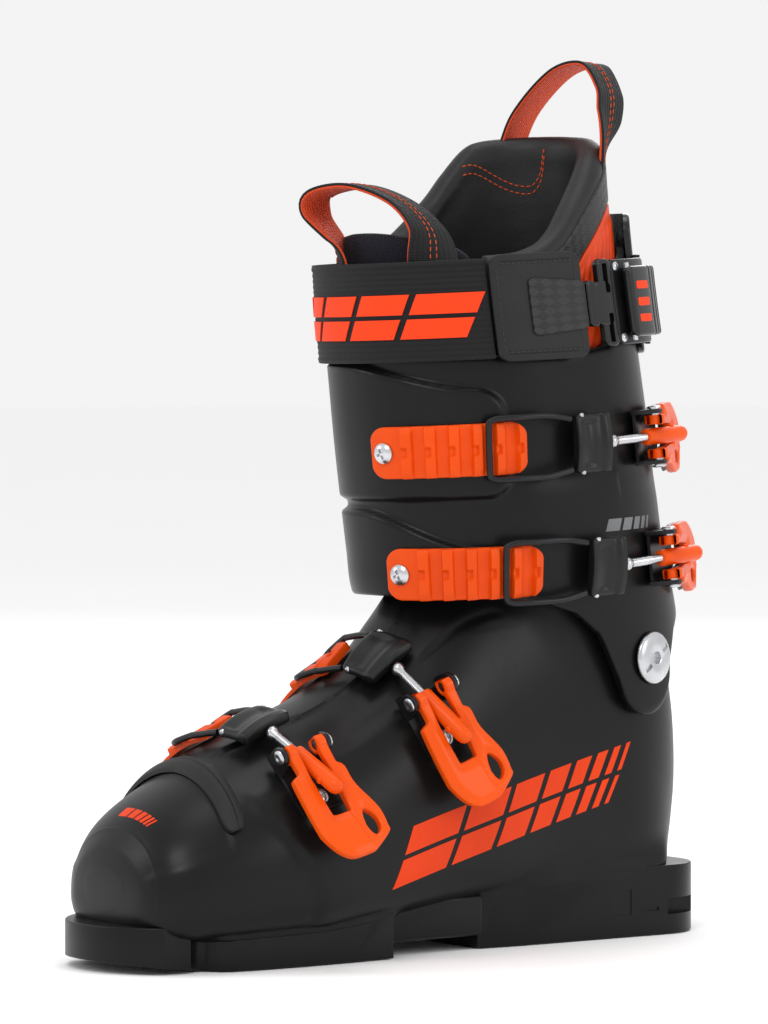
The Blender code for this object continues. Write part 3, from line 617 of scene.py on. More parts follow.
SHELL_BLACK = moulded("shell_black", (0.0040, 0.0041, 0.0044), 0.34, 0.025, specular=0.2)
CUFF_BLACK = moulded("cuff_black", (0.0040, 0.0041, 0.0044), 0.32, 0.025, specular=0.2)
GLOSS_BLACK = moulded("gloss_black", (0.0050, 0.0051, 0.0054), 0.20, 0.012, 0.15, specular=0.35)
CATCH_BLACK = moulded("catch_black", (0.0062, 0.0063, 0.0067), 0.33, 0.02, specular=0.3)
RUBBER = moulded("rubber_black", (0.0062, 0.0063, 0.0066), 0.55, 0.05)
ORANGE = moulded("orange_plastic", (0.76, 0.078, 0.0015), 0.34, 0.02, 0.04, 0.06, specular=0.17)
LADDER_ORANGE = moulded("ladder_orange", (0.72, 0.066, 0.0015), 0.40, 0.03, 0.0, 0.07,
                        specular=0.17)
PRINT_ORANGE = moulded("print_orange", (0.70, 0.046, 0.0040), 0.42, 0.03, specular=0.15)
PRINT_BRIGHT = moulded("print_bright", (0.86, 0.050, 0.0070), 0.5, 0.05, specular=0.15)
PRINT_GREY = moulded("print_grey", (0.16, 0.165, 0.17), 0.45, 0.03)
BLACK_STEEL = metal("black_steel", (0.016, 0.016, 0.018), 0.30, 0.6)
BRIGHT_STEEL = metal("bright_steel", (0.60, 0.61, 0.63), 0.26)
WEBBING = webbing("black_webbing", (0.0075, 0.0075, 0.0085), 2.4)
ORANGE_WEBBING = webbing("orange_webbing", (0.62, 0.06, 0.012), 1.8)
LINER_SKIN = leather("liner_skin", (0.012, 0.012, 0.013), 0.46)
LINER_LINING = cloth("liner_lining", (0.014, 0.014, 0.016), 1.3)
TONGUE_CLOTH = cloth("tongue_cloth", (0.0060, 0.0065, 0.0115), 1.2)
PATCH_LEATHER = leather("patch_leather", (0.009, 0.009, 0.0095), 0.5, 0.1)
TWILL = twill("carbon_emboss", (0.010, 0.010, 0.011), 3.0)
ORANGE_PANEL = moulded("orange_panel", (0.72, 0.055, 0.005), 0.42, 0.04, specular=0.25)
THREAD = webbing("orange_thread", (0.90, 0.12, 0.02), 0.5)
DARK_THREAD = webbing("dark_thread", (0.05, 0.05, 0.052), 0.5)
FOAM = leather("board_foam", (0.05, 0.05, 0.05), 0.85)


# ---------------------------------------------------------------- camera and lights

def aim(made, target):
    """Turn an object so that it looks at a point."""
    direction = Vector(target) - made.location
    made.rotation_euler = direction.to_track_quat("-Z", "Y").to_euler()


def studio():
    """The camera at a front three-quarter angle, a pale floor and soft lights."""
    lens = bpy.data.cameras.new("camera")
    lens.lens = 173.5
    lens.sensor_width = 36.0
    lens.clip_end = 50
    camera = bpy.data.objects.new("camera", lens)
    bpy.context.scene.collection.objects.link(camera)
    angle = math.radians(54.5)
    camera.location = (CENTRE_X * MM + 2.1 * math.sin(angle), -2.1 * math.cos(angle), 0.240)
    aim(camera, (CENTRE_X * MM, 0, 0.185))
    bpy.context.scene.camera = camera

    paint = Paint("floor", (0.985, 0.985, 0.985), 0.9).set("Specular IOR Level", 0.0)
    paint.tint(paint.noise(9, 3), 0.3, 0.7, 0.995, 1.005)
    points = [(-40, -40, 0), (40, -40, 0), (40, 40, 0), (-40, 40, 0)]
    mesh = bpy.data.meshes.new("floor")
    mesh.from_pydata([(x, y, -0.0004) for x, y, _ in points], [], [(0, 1, 2, 3)])
    floor = bpy.data.objects.new("floor", mesh)
    bpy.context.scene.collection.objects.link(floor)
    mesh.materials.append(paint.done())

    world = bpy.data.worlds.new("studio")
    bpy.context.scene.world = world
    world.use_nodes = True
    background = world.node_tree.nodes["Background"]
    background.inputs["Color"].default_value = (1.0, 1.0, 1.0, 1)
    background.inputs["Strength"].default_value = 0.90
    bpy.context.scene.view_settings.view_transform = "Standard"

    lights = (
        ("key", (1.3, -1.6, 2.1), 1.0, 19),
        ("side", (2.2, 1.2, 1.0), 0.9, 9),
        ("front", (-1.2, -2.0, 1.2), 0.9, 8),
        ("top", (0.0, 0.2, 2.3), 1.2, 9),
        ("back", (-1.6, 1.8, 1.3), 1.0, 9),
    )
    for name, place, size, power in lights:
        lamp = bpy.data.lights.new(name, "AREA")
        lamp.shape = "DISK"
        lamp.size = size
        lamp.energy = power
        made = bpy.data.objects.new(name, lamp)
        bpy.context.scene.collection.objects.link(made)
        made.location = place
        aim(made, (0, 0, 0.18))


studio()


# ---------------------------------------------------------------- lower shell

def wrapped(turn):
    """A turn between minus and plus half a circle."""
    return (np.asarray(turn) + np.pi) % (2 * np.pi) - np.pi


def step(value, width):
    """A soft edge: 0 well below zero, 1 well above."""
    return smooth(value / width + 0.5)


def ridge(value, width):
    """A soft raised line at zero."""
    return smooth(1 - np.abs(value) / width)


def shell_relief(index, turn):
    """Height of the moulded detail on the shell, in millimetres."""
    degrees = np.degrees(wrapped(turn))
    # the medial flap overlaps the lateral one along the instep, up to a seam beside the catches
    seam = 9 + 6 * np.sin((index - 5) * 0.75)
    flap = step(seam - degrees, 2.0) * step(degrees + 104, 40)
    relief = 1.4 * flap * step(index - 4.9, 0.4) * step(10.4 - index, 0.8)
    # the front border of the lateral flap sweeps down from the gasket's end to the sole
    border = 4.75 + 1.0 * smooth((degrees - 50) / 50)
    relief += 1.0 * step(index - border, 0.28) * step(degrees - 44, 10) * step(132 - degrees,
                                                                               16) * step(9.4 - index, 3)
    # the toe box stands a little lower than the forefoot flaps
    relief += -0.9 * step(4.15 - index, 0.22) * step(70 - np.abs(degrees), 10) * step(index - 1.2,
                                                                                      0.8)
    # parting line round the toe, and a crease at the throat
    relief += 0.28 * ridge(index - 1.75, 0.10) * step(105 - np.abs(degrees), 12)
    relief += -0.7 * ridge(degrees - 37 - 5 * (index - 9), 3.0) * step(index - 8.7,
                                                                       0.6) * step(11.4 - index,
                                                                                   0.6)
    # the ankle and heel pockets swell on both sides
    relief += 0.9 * np.exp(-((index - 12.6) / 1.1) ** 2) * np.exp(-((np.abs(degrees) - 112) / 22) ** 2)
    return relief


def toe_outline(half_width, radius, tip, inner_end):
    """The toe lug's outline: round tip, straight sides with a groove, then the wider forefoot."""
    reach = math.asin(half_width / radius)
    arc = [(radius * math.sin(a), tip + radius - radius * math.cos(a)) for a in np.linspace(-reach,
                                                                                            reach,
                                                                                            40)]
    side = [(half_width, -121), (half_width - 2.2, -118.6), (half_width - 3, -116),
            (half_width - 2.6, -113),
            (38, -109), (40.4, -104), (42.2, -92), (43, -70), (42.4, -45), (41, inner_end)]
    return arc + side + [(-x * 0.96, y) for x, y in reversed(side)]


def heel_outline(half_width, rear, inner_end, corner):
    """The heel block's outline with two rounded rear corners."""
    arc = [(half_width - corner + corner * math.sin(a), rear - corner + corner * math.cos(a))
           for a in np.linspace(math.pi / 2, 0, 12)]
    half = [(half_width - 3, inner_end), (half_width - 1.2, inner_end + 20)] + arc
    return half + [(-x, y) for x, y in reversed(half)]


SOLE_FRAME = Matrix.Translation((CENTRE_X * MM, 0, 0))


def sole_blocks():
    """The toe and heel blocks and the arch, with grooves across their undersides."""
    toe = prism_mesh("toe_block", toe_outline(34.5, 41.5, -SOLE_LENGTH / 2, -24), 0, TOE_LUG_HEIGHT,
                     SOLE_FRAME)
    rocker = (Matrix.Translation((CENTRE_X * MM, -113 * MM,
                                  0)) @ Matrix.Rotation(math.radians(-6.5), 4, "X"))
    cuts = [(box_mesh("rocker", (-60, -60, -20), (60, 0, 0), rocker), "DIFFERENCE")]
    for at in (-106, -94, -82, -70, -58, -46):
        cuts.append((box_mesh("tread", (-32, at, -5), (33, at + 5, 1.2), SOLE_FRAME), "DIFFERENCE"))
    toe = bevelled(combined(toe, cuts, "toe_block"), 1.3, 3)
    heel = prism_mesh("heel_block", heel_outline(35.0, SOLE_LENGTH / 2, 26, 24), 0, HEEL_LUG_HEIGHT,
                      SOLE_FRAME)
    cuts = [(box_mesh("tread", (-26, at, -5), (26, at + 5, 1.2), SOLE_FRAME), "DIFFERENCE")
            for at in (42, 56, 70, 84, 98, 112, 126)]
    heel = bevelled(combined(heel, cuts, "heel_block"), 1.1, 3)
    arch = bevelled(box_mesh("arch_block", (-33, -26, 5.5), (34, 28, 23), SOLE_FRAME), 2.0, 3)
    return [toe, heel, arch]


def flush_with_sole(points, turn):
    """Bring the lower sides of the shell's skin out to the sole blocks, so that they run on smoothly."""
    x, y, z = (points[..., k] / MM for k in range(3))
    side = np.sign(x - CENTRE_X)
    reach = np.abs(x - CENTRE_X)
    lateral = smooth((np.abs(np.sin(turn)) - 0.30) / 0.35)
    front = smooth((y + 116) / 10) * smooth((-14 - y) / 12)
    rear = smooth((y - 12) / 26) * smooth((141 - y) / 14)
    front_width = np.interp(y, [-116, -106, -92, -70, -45, -24], [38, 40.6, 42.4, 43.1, 42.5, 41])
    front_width = front_width * np.where(side < 0, 0.96, 1.0) - 0.4 + 1.5 * smooth((z - 7) / 11)
    rear_width = 34.5 + 1.7 * smooth((z - 19) / 14) - 2.4 * smooth((70 - y) / 44)
    share_front = lateral * front * smooth((27 - z) / 13)
    share_rear = lateral * rear * smooth((46 - z) / 22)
    wider = reach + share_front * np.maximum(front_width - reach, 0)
    wider = wider + share_rear * np.maximum(rear_width - wider, 0)
    moved = points.copy()
    moved[..., 0] = (CENTRE_X + side * wider) * MM
    return moved


def pivot_frame(side):
    """The cuff's skin at the pivot: its outward direction is the frame's Z."""
    index = float(cuff_index(PIVOT_Z))
    turns = np.radians(np.linspace(90, 170, 4000)) * side
    points = skin(CUFF, index, turns)
    turn = turns[int(np.argmin(np.abs(points[:, 1] - PIVOT_Y * MM)))]
    small = 0.01
    along = Vector(skin(CUFF, index, turn + small) - skin(CUFF, index, turn - small)).normalized()
    up = Vector(skin(CUFF, index + small, turn) - skin(CUFF, index - small, turn)).normalized()
    normal = along.cross(up).normalized()
    made = Matrix((along, normal.cross(along), normal)).transposed().to_4x4()
    made.translation = Vector(skin(CUFF, index, turn))
    return made


def lower_shell():
    """The moulded shell with its sole blocks, hollow inside for the liner."""
    index = np.concatenate([np.linspace(0, 2, 46)[:-1], np.linspace(2, 12, 190)[:-1],
                            np.linspace(12, 16, 80)])
    turn = np.linspace(0, 2 * np.pi, 260, endpoint=False)
    index, turn = np.meshgrid(index, turn, indexing="ij")
    outer = skin(SHELL, index, turn, shell_relief(index, turn))
    outer = grid_mesh("shell_skin", flush_with_sole(outer, turn))
    floors = np.array([9, 9, 9, 9, 9, 9, 9, 9, 9, 9, 9, 12, 9, 5, 5, 5, 5, 5], float)
    index, turn = np.meshgrid(np.linspace(1.7, 17, 90),
                              np.linspace(0, 2 * np.pi, 120, endpoint=False),
                              indexing="ij")
    inner = skin(SHELL, index, turn, -SHELL_WALL)
    floor = np.interp(index, np.arange(18), floors) - SHELL_WALL
    fy, fz, ry, rz = (section(SHELL, index)[..., k] for k in range(4))
    axis = np.stack([0 * fy, fy - ry, fz - rz], -1)
    axis /= np.linalg.norm(axis, axis=-1, keepdims=True)
    lift = smooth((-np.cos(turn)) / 0.5 * 0.5 + 0.5) * floor
    inner = inner + axis * (lift * MM * (np.cos(turn) < 0.4))[..., None]
    hollow = grid_mesh("shell_hollow", inner)
    tools = [(mesh, "UNION") for mesh in sole_blocks()]
    tools.append((hollow, "DIFFERENCE"))
    tools.append((box_mesh("slot", (27, 127, 8.5), (60, 160, 15.5), SOLE_FRAME), "DIFFERENCE"))
    tools.append((box_mesh("mark", (34.4, 96, 9.5), (60, 107, 20.5), SOLE_FRAME), "DIFFERENCE"))
    tools.append((box_mesh("mark_dash", (34.3, 113, 10.5), (60, 122, 12), SOLE_FRAME),
                  "DIFFERENCE"))
    for side in (1, -1):
        tools.append((turned_mesh("pivot_hole", [(5.9, -20), (5.9, 4)], pivot_frame(side), 40),
                      "DIFFERENCE"))
    mesh = combined(outer, tools, "shell", 38)
    piece("shell", mesh, SHELL_BLACK, "lower_shell", "shell_black", ["lower_shell"])


# ---------------------------------------------------------------- cuff

def lobe_bottom(y):
    """Height of the cuff's lower edge at a place along the boot, in the side view."""
    edge = np.interp(y, [-60, 26, 48, 66, 80, 91.6, 124.9, 131, 142, 170],
                     [152, 148.5, 147, 142, 132, 111.1, 117.7, 132, 141, 148])
    across = np.clip((y - 108) / 17, -1, 1)
    lobe = 116 - 19 * np.sqrt(1 - across ** 2)
    inside = (y > 91.6) & (y < 124.9)
    return np.where(inside, lobe, edge)


def rim_top(y):
    """Height of the cuff's upper edge at a place along the boot, in the side view."""
    return np.interp(y, [-60, 60, 84, 94, 100, 112, 170], [250, 252, 256, 268, 292, 299, 300])


def cuff_edge(turns, edge):
    """Section indices where the cuff's skin meets an edge, one for each turn."""
    index = np.linspace(-0.6, 12, 900)[:, None] + 0 * turns[None, :]
    points = skin(CUFF, index, turns[None, :] + 0 * index) / MM
    above = points[..., 2] - edge(points[..., 1])
    found = np.empty(len(turns))
    for k in range(len(turns)):
        below = np.nonzero(above[:, k] < 0)[0]
        last = min(below[-1], len(index) - 2) if len(below) else 0
        a, b = above[last, k], above[last + 1, k]
        found[k] = index[last, 0] + (index[1, 0] - index[0, 0]) * a / (a - b)
    return found


def flap_mask(turn, height, end, bottom, top, corner, width=2.8):
    """1 inside a flap with a rounded lateral end, 0 outside, with a soft edge."""
    across = (height - (bottom + top) / 2)
    half = (top - bottom) / 2
    x = (turn - end) * DEGREE_LENGTH + corner
    y = np.abs(across) - (half - corner)
    distance = np.hypot(np.maximum(x, 0), np.maximum(y, 0)) + np.minimum(np.maximum(x, y),
                                                                         0) - corner
    return smooth(0.5 - distance / width)


def cuff_relief(turn, height):
    """Height of the moulded detail on the cuff: two overlapping flaps and a shallow waist."""
    medial = step(turn + 82, 4)
    upper_top = 248 - 13 * smooth((turn + 10) / 75)
    lower_top = 186 - 20 * smooth((turn + 5) / 70)
    upper = flap_mask(turn, height, 67, 190.5, upper_top, 9)
    lower = flap_mask(turn, height, 68, 148.0, lower_top, 9)
    relief = CUFF_FLAP * np.maximum(upper, lower) * medial
    # a shallow waist below the upper flap
    relief += -0.9 * np.exp(-((height - 200) / 7) ** 2) * step(turn - 72, 14) * step(150 - turn, 20)
    return relief


def cuff():
    """The cuff: one wall with rounded edges, and flaps that overlap at the front."""
    turns = np.radians(np.arange(-180, 180, 1.0))
    bottom, top = cuff_edge(turns, lobe_bottom), cuff_edge(turns, rim_top)
    shares = np.concatenate([[0, 0.004, 0.012], np.linspace(0.022, 0.978, 104),
                             [0.988, 0.996, 1.0]])
    rows = []
    inset = np.array([0.9, 0.45, 0.12] + [0.0] * 104 + [0.12, 0.45, 0.9])
    degrees = np.degrees(turns)
    for share, sunk in zip(shares, inset):
        index = bottom + (top - bottom) * share
        height = skin(CUFF, index, turns)[:, 2] / MM
        front_height = np.interp(index, np.arange(len(CUFF)), CUFF[:, 1])
        relief = cuff_relief(degrees, np.where(np.abs(degrees) < 110, front_height, height))
        rows.append(skin(CUFF, index, turns, relief - sunk))
    for share in np.linspace(1.0, 0.0, 50):
        index = bottom + (top - bottom) * share
        sunk = 0.6 if share in (0.0, 1.0) else 0.0
        rows.append(skin(CUFF, index, turns, -CUFF_WALL + sunk))
    points = np.array(rows)
    mesh = grid_mesh("cuff_wall", points, wrap_u=True, wrap_v=True, sharp=60)
    tools = [(turned_mesh("hole", [(6.6, -9), (6.6, 6)], pivot_frame(side), 40), "DIFFERENCE")
             for side in (1, -1)]
    mesh = combined(mesh, tools, "cuff_wall", 75)
    piece("cuff_wall", mesh, CUFF_BLACK, "cuff", "shell_black", ["cuff"])


def pivot_screws():
    """The pivot screws: a wide low head with a hex socket and two slots."""
    for side, name in ((1, "pivot_lateral"), (-1, "pivot_medial")):
        profile = [(0, 1.4), (2.6, 1.4), (2.7, 3.0), (3.2, 3.3), (7.4, 3.2), (9.6, 2.7),
                   (10.9, 2.1), (11.3, 1.5),
                   (11.3, 0.8), (5.5, 0.8), (5.5, -11), (0, -11)]
        matrix = pivot_frame(side)
        head = turned_mesh(name, profile, matrix, 72)
        tools = []
        for turn in (35, 215):
            slot = box_mesh("slot", (5.0, -1.1, 2.2), (9.4, 1.1, 6),
                            matrix @ Matrix.Rotation(math.radians(turn), 4, "Z"))
            tools.append((slot, "DIFFERENCE"))
        piece(name + "_head", combined(head, tools, name), BRIGHT_STEEL, "lower_shell",
              "bright_steel", [name])


# ---------------------------------------------------------------- liner

LINER_SKIN_OFFSET = -(CUFF_WALL + 1.8)


COLLAR_TOP = np.array([
    (68, 291), (90, 294), (114, 311), (135, 322), (158, 328), (180, 330), (202, 331), (225, 331),
    (246, 329),
    (262, 319), (275, 308), (292, 299)], float)


def collar_top(turn):
    """Height of the liner's collar round the leg, measured at the front of the section."""
    index = np.interp(turn, COLLAR_TOP[:, 0], np.arange(len(COLLAR_TOP)))
    height = section(COLLAR_TOP[:, 1:], index)[..., 0]
    return height + REAR_RISE * smooth((height - 300) / 31)


REAR_RISE = 8.0          # how far the padding stands above its plain solid at the back
COLLAR_THICKNESS = 10.5


def liner_collar():
    """The liner's collar: padded, open at the front, with a rolled upper edge."""
    turn = np.linspace(68, 292, 200)
    half = COLLAR_THICKNESS / 2
    profile = [(share, 0.0, 0.0) for share in np.linspace(0, 1, 70)]
    profile += [(1.0, half - half * math.cos(a), half * math.sin(a)) for a in np.pi * np.arange(1,
                                                                                                16) / 16]
    profile += [(share, COLLAR_THICKNESS, 0.0) for share in np.linspace(1, 0, 60)]
    profile = np.array(profile)
    rows = []
    for u in turn:
        end = min(u - 68, 292 - u) * DEGREE_LENGTH
        thin = 1 - 0.62 * float(quarter(np.array(end), 6.0)) / 6.0
        share, depth, over = profile.T
        top = collar_top(np.array(u)) - half
        height = 181 + (top - 181) * share + over
        inner = depth > half
        below = top + half - height
        swell = 2.2 * np.sin(np.clip(share, 0, 1) * np.pi) ** 0.6 * inner
        roll = 0.9 * np.exp(-((below - 7) / 4.5) ** 2) * np.where(inner, 1.0, -0.5)
        offset = LINER_SKIN_OFFSET - 0.2 - (half + (depth - half) * thin) - swell - roll
        rows.append(skin(CUFF, cuff_index(height), math.radians(u), offset))
    points = np.array(rows)
    along = profile[:, 0] * 140 + profile[:, 1] + profile[:, 2]
    uvs = np.stack(np.meshgrid(turn * DEGREE_LENGTH, along, indexing="ij"), -1) * 0.01
    mesh = grid_mesh("liner_collar", points, wrap_u=False, wrap_v=True, uvs=uvs, sharp=70)
    made = piece("liner_collar", mesh, LINER_SKIN, "cuff", "liner_skin", ["liner_cuff"])

    surface = BVHTree.FromObject(made, bpy.context.evaluated_depsgraph_get())
    seam = curve_through([(254, 4, 0), (245, 9, 0), (233, 15, 0), (221, 19, 0), (210, 19.5, 0),
                          (203, 15, 0),
                          (200, 9, 0), (198, 4, 0)], 16)
    for name, shift in (("liner_stitch_top", 0.0), ("liner_stitch_low", 3.2)):
        height = collar_top(seam[:, 0]) - seam[:, 1] - shift
        inside = skin(CUFF, cuff_index(height), np.radians(seam[:, 0]), LINER_SKIN_OFFSET - 24)
        outside = skin(CUFF, cuff_index(height), np.radians(seam[:, 0]), LINER_SKIN_OFFSET)
        path = []
        for a, b in zip(inside, outside):
            hit = surface.ray_cast(Vector(a), Vector(b - a).normalized())
            if hit[0] is not None:
                path.append(tuple(hit[0] - Vector(b - a).normalized() * 0.15 * MM))
        piece(name, stitches(name, path, 2.6, 1.9, 0.34), THREAD, "cuff", "orange_webbing")


def liner_panel():
    """The outer side of the collar: an embossed band under its edge and an orange ribbed panel."""
    def place(u, v, h):
        turn = u / DEGREE_LENGTH
        height = collar_top(turn) - v
        return skin(CUFF, cuff_index(height), np.radians(turn), LINER_SKIN_OFFSET + h)

    def band_place(u, v, h):
        return place(u, 14.5 + v, h)
    scale = DEGREE_LENGTH
    mesh = plate_mesh("liner_band", band_place, 84 * scale, 166 * scale, 7.0, 0.9, -0.6, 0.6, 3,
                      0.8, 30)
    piece("liner_band", mesh, TWILL, "cuff", "liner_skin")

    def panel_place(u, v, h):
        turn = u / DEGREE_LENGTH
        top = collar_top(turn) - 22.5
        height = top + (246 - top) * (v + 30) / 60
        return skin(CUFF, cuff_index(height), np.radians(turn), LINER_SKIN_OFFSET + h)

    def ribbed(u, v):
        rib = 0.5 + 0.5 * np.cos((u + 0.35 * v) * 2 * np.pi / 5.0)
        return 0.8 + 0.7 * smooth(rib * 1.4) * step(24 - np.abs(v), 4)
    mesh = plate_mesh("liner_orange_panel", panel_place, 103 * scale, 152 * scale, 30, ribbed, -0.6,
                      0.7, 5, 0.6, 60)
    piece("liner_orange_panel", mesh, ORANGE_PANEL, "cuff", "orange_plastic")


def liner_tongue():
    """The tongue: a thick padded sheet with quilted channels, in front of the shin."""
    def place(u, v, h):
        turn = u / DEGREE_LENGTH
        top = 303 - 10 * (turn / 64) ** 2
        height = 168 + (top - 168) * (v + 68) / 136
        return skin(CUFF, cuff_index(height), np.radians(turn), LINER_SKIN_OFFSET - 3.5 + h)

    def padded_face(u, v):
        channel = 1.1 * np.exp(-((np.abs(u) - 34) / 1.7) ** 2) + 0.9 * np.exp(-((v - 50) / 1.5) ** 2)
        return 3.5 - channel * step(v - 20, 12)

    def back(u, v):
        channel = 1.0 * np.exp(-((np.abs(u) - 30) / 1.8) ** 2)
        return -4.6 + channel
    mesh = plate_mesh("tongue", place, -64 * DEGREE_LENGTH, 64 * DEGREE_LENGTH, 68, padded_face,
                      back,
                      3.2, 10, 1.4, 90, both=True, sharp=80)
    made = piece("tongue", mesh, TONGUE_CLOTH, "cuff", "tongue_cloth", ["liner_tongue"])


def liner_foot():
    """The liner's foot inside the shell, and the soft sleeve that joins it to the collar."""
    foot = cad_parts["liner_foot"]
    mesh = foot.data.copy()
    mesh.name = "liner_sock"
    made = piece("liner_sock", mesh, None, "lower_shell", "liner_skin", ["liner_foot"])
    mesh.materials.clear()
    mesh.materials.append(LINER_LINING)
    mesh.shade_smooth()
    mesh.set_sharp_from_angle(angle=math.radians(60))

    turn = np.linspace(0, 2 * np.pi, 96, endpoint=False)
    rows = []
    for share in list(np.linspace(0, 1, 16)) + list(np.linspace(1, 0, 16)):
        outer = len(rows) < 16
        low = skin(SHELL, 14.4, turn, -(SHELL_WALL + 9.5))
        high = skin(CUFF, cuff_index(200), turn, LINER_SKIN_OFFSET - 9.6)
        mix = low + (high - low) * share
        away = mix - mix.mean(0)
        away[:, 2] = 0
        away /= np.linalg.norm(away, axis=1, keepdims=True)
        rows.append(mix + away * (0.7 * MM if outer else -0.7 * MM))
    sleeve = grid_mesh("liner_sleeve", np.array(rows), wrap_u=True, wrap_v=True, sharp=70)
    made = bpy.data.objects.new("liner_sleeve", sleeve)
    bpy.context.scene.collection.objects.link(made)
    sleeve.materials.append(LINER_LINING)
    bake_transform(made)


def ribbon_mesh(name, points, across, width, thickness, twist=0.0):
    """A strap bent through points, in millimetres, with its width along the directions across."""
    rows = np.concatenate([np.array(points, float), np.array(across, float)], 1)
    values = curve_through(rows, 14)
    centre, wide = values[:, :3], values[:, 3:]
    tangent = np.gradient(centre, axis=0)
    tangent /= np.linalg.norm(tangent, axis=1, keepdims=True)
    wide = wide - tangent * (wide * tangent).sum(1, keepdims=True)
    wide /= np.linalg.norm(wide, axis=1, keepdims=True)
    normal = np.cross(tangent, wide)
    distance = np.concatenate([[0], np.cumsum(np.linalg.norm(np.diff(centre, axis=0), axis=1))])

    def place(u, v, h):
        at = np.clip(u, 0, distance[-1])
        pick = [np.stack([np.interp(at, distance, rail[:, k]) for k in range(3)], -1)
                for rail in (centre, wide, normal)]
        return (pick[0] + pick[1] * v[..., None] + pick[2] * h[..., None]) * MM
    mesh = plate_mesh(name, place, 0, distance[-1], width / 2, thickness / 2, -thickness / 2,
                      0.35, 0, 1.2, 14, both=True, sharp=60)
    return mesh, place, distance[-1]


def pull_loops():
    """The webbing loops: black outside and orange inside, stitched down the middle."""
    front = [(-13, -18.6, 279), (-13, -18.2, 290), (-16, -18.4, 300), (-23, -23, 311),
             (-20, -24, 320),
             (-6, -14, 323), (10, -3, 316), (23, 1.5, 304), (28.5, 0.2, 291), (29, -0.4, 279)]
    front_across = ([(0.95, -0.3, 0.0), (0.9, -0.43, 0.0),
                     (0.6, -0.8, 0.0)] + [(0.42, -0.91, 0.0)] * 4
                    + [(0.2, -0.98, 0.0), (-0.35, -0.93, 0.0), (-0.55, -0.83, 0.0)])
    rear = [(-38, 88, 328), (-38, 92, 345), (-34, 98, 361), (-18, 104, 376), (0, 107, 378),
            (10, 108, 367),
            (13, 106, 356), (13.5, 102.5, 342), (13.5, 101.5, 326)]
    rear_across = [(0.45, -0.89, 0.0)] * 7 + [(0.75, -0.66, 0.0)] * 2
    for name, points, across, flip in (("front_pull_loop", front, front_across, 1),
                                       ("rear_pull_loop", rear, rear_across, 1)):
        mesh, place, length = ribbon_mesh(name, points, across, 22, 1.1)
        bpy.data.meshes.remove(mesh)
        for label, shift, material, kind in (("outer", -0.56 * flip, WEBBING, "black_webbing"),
                                             ("inner", 0.56 * flip, ORANGE_WEBBING,
                                              "orange_webbing")):
            def layer(u, v, h, shift=shift):
                return place(u, v, h + shift)
            shown = plate_mesh(f"{name}_{label}", layer, 0, length, 11, 0.5, -0.5, 0.3, 0, 1.2, 14, both=True,
                               sharp=60)
            piece(f"{name}_{label}", shown, material, "cuff", kind, [name] if label == "outer" else [])
        u = np.linspace(4, length - 2, 80)
        for label, across_at in (("a", -1.4), ("b", 1.4)):
            path = place(u, 0 * u + across_at, 0 * u - 1.2 * flip)
            full = f"{name}_stitch_{label}"
            piece(full, stitches(full, path, 3.2, 2.2, 0.28), THREAD, "cuff", "orange_webbing")


# ---------------------------------------------------------------- power strap

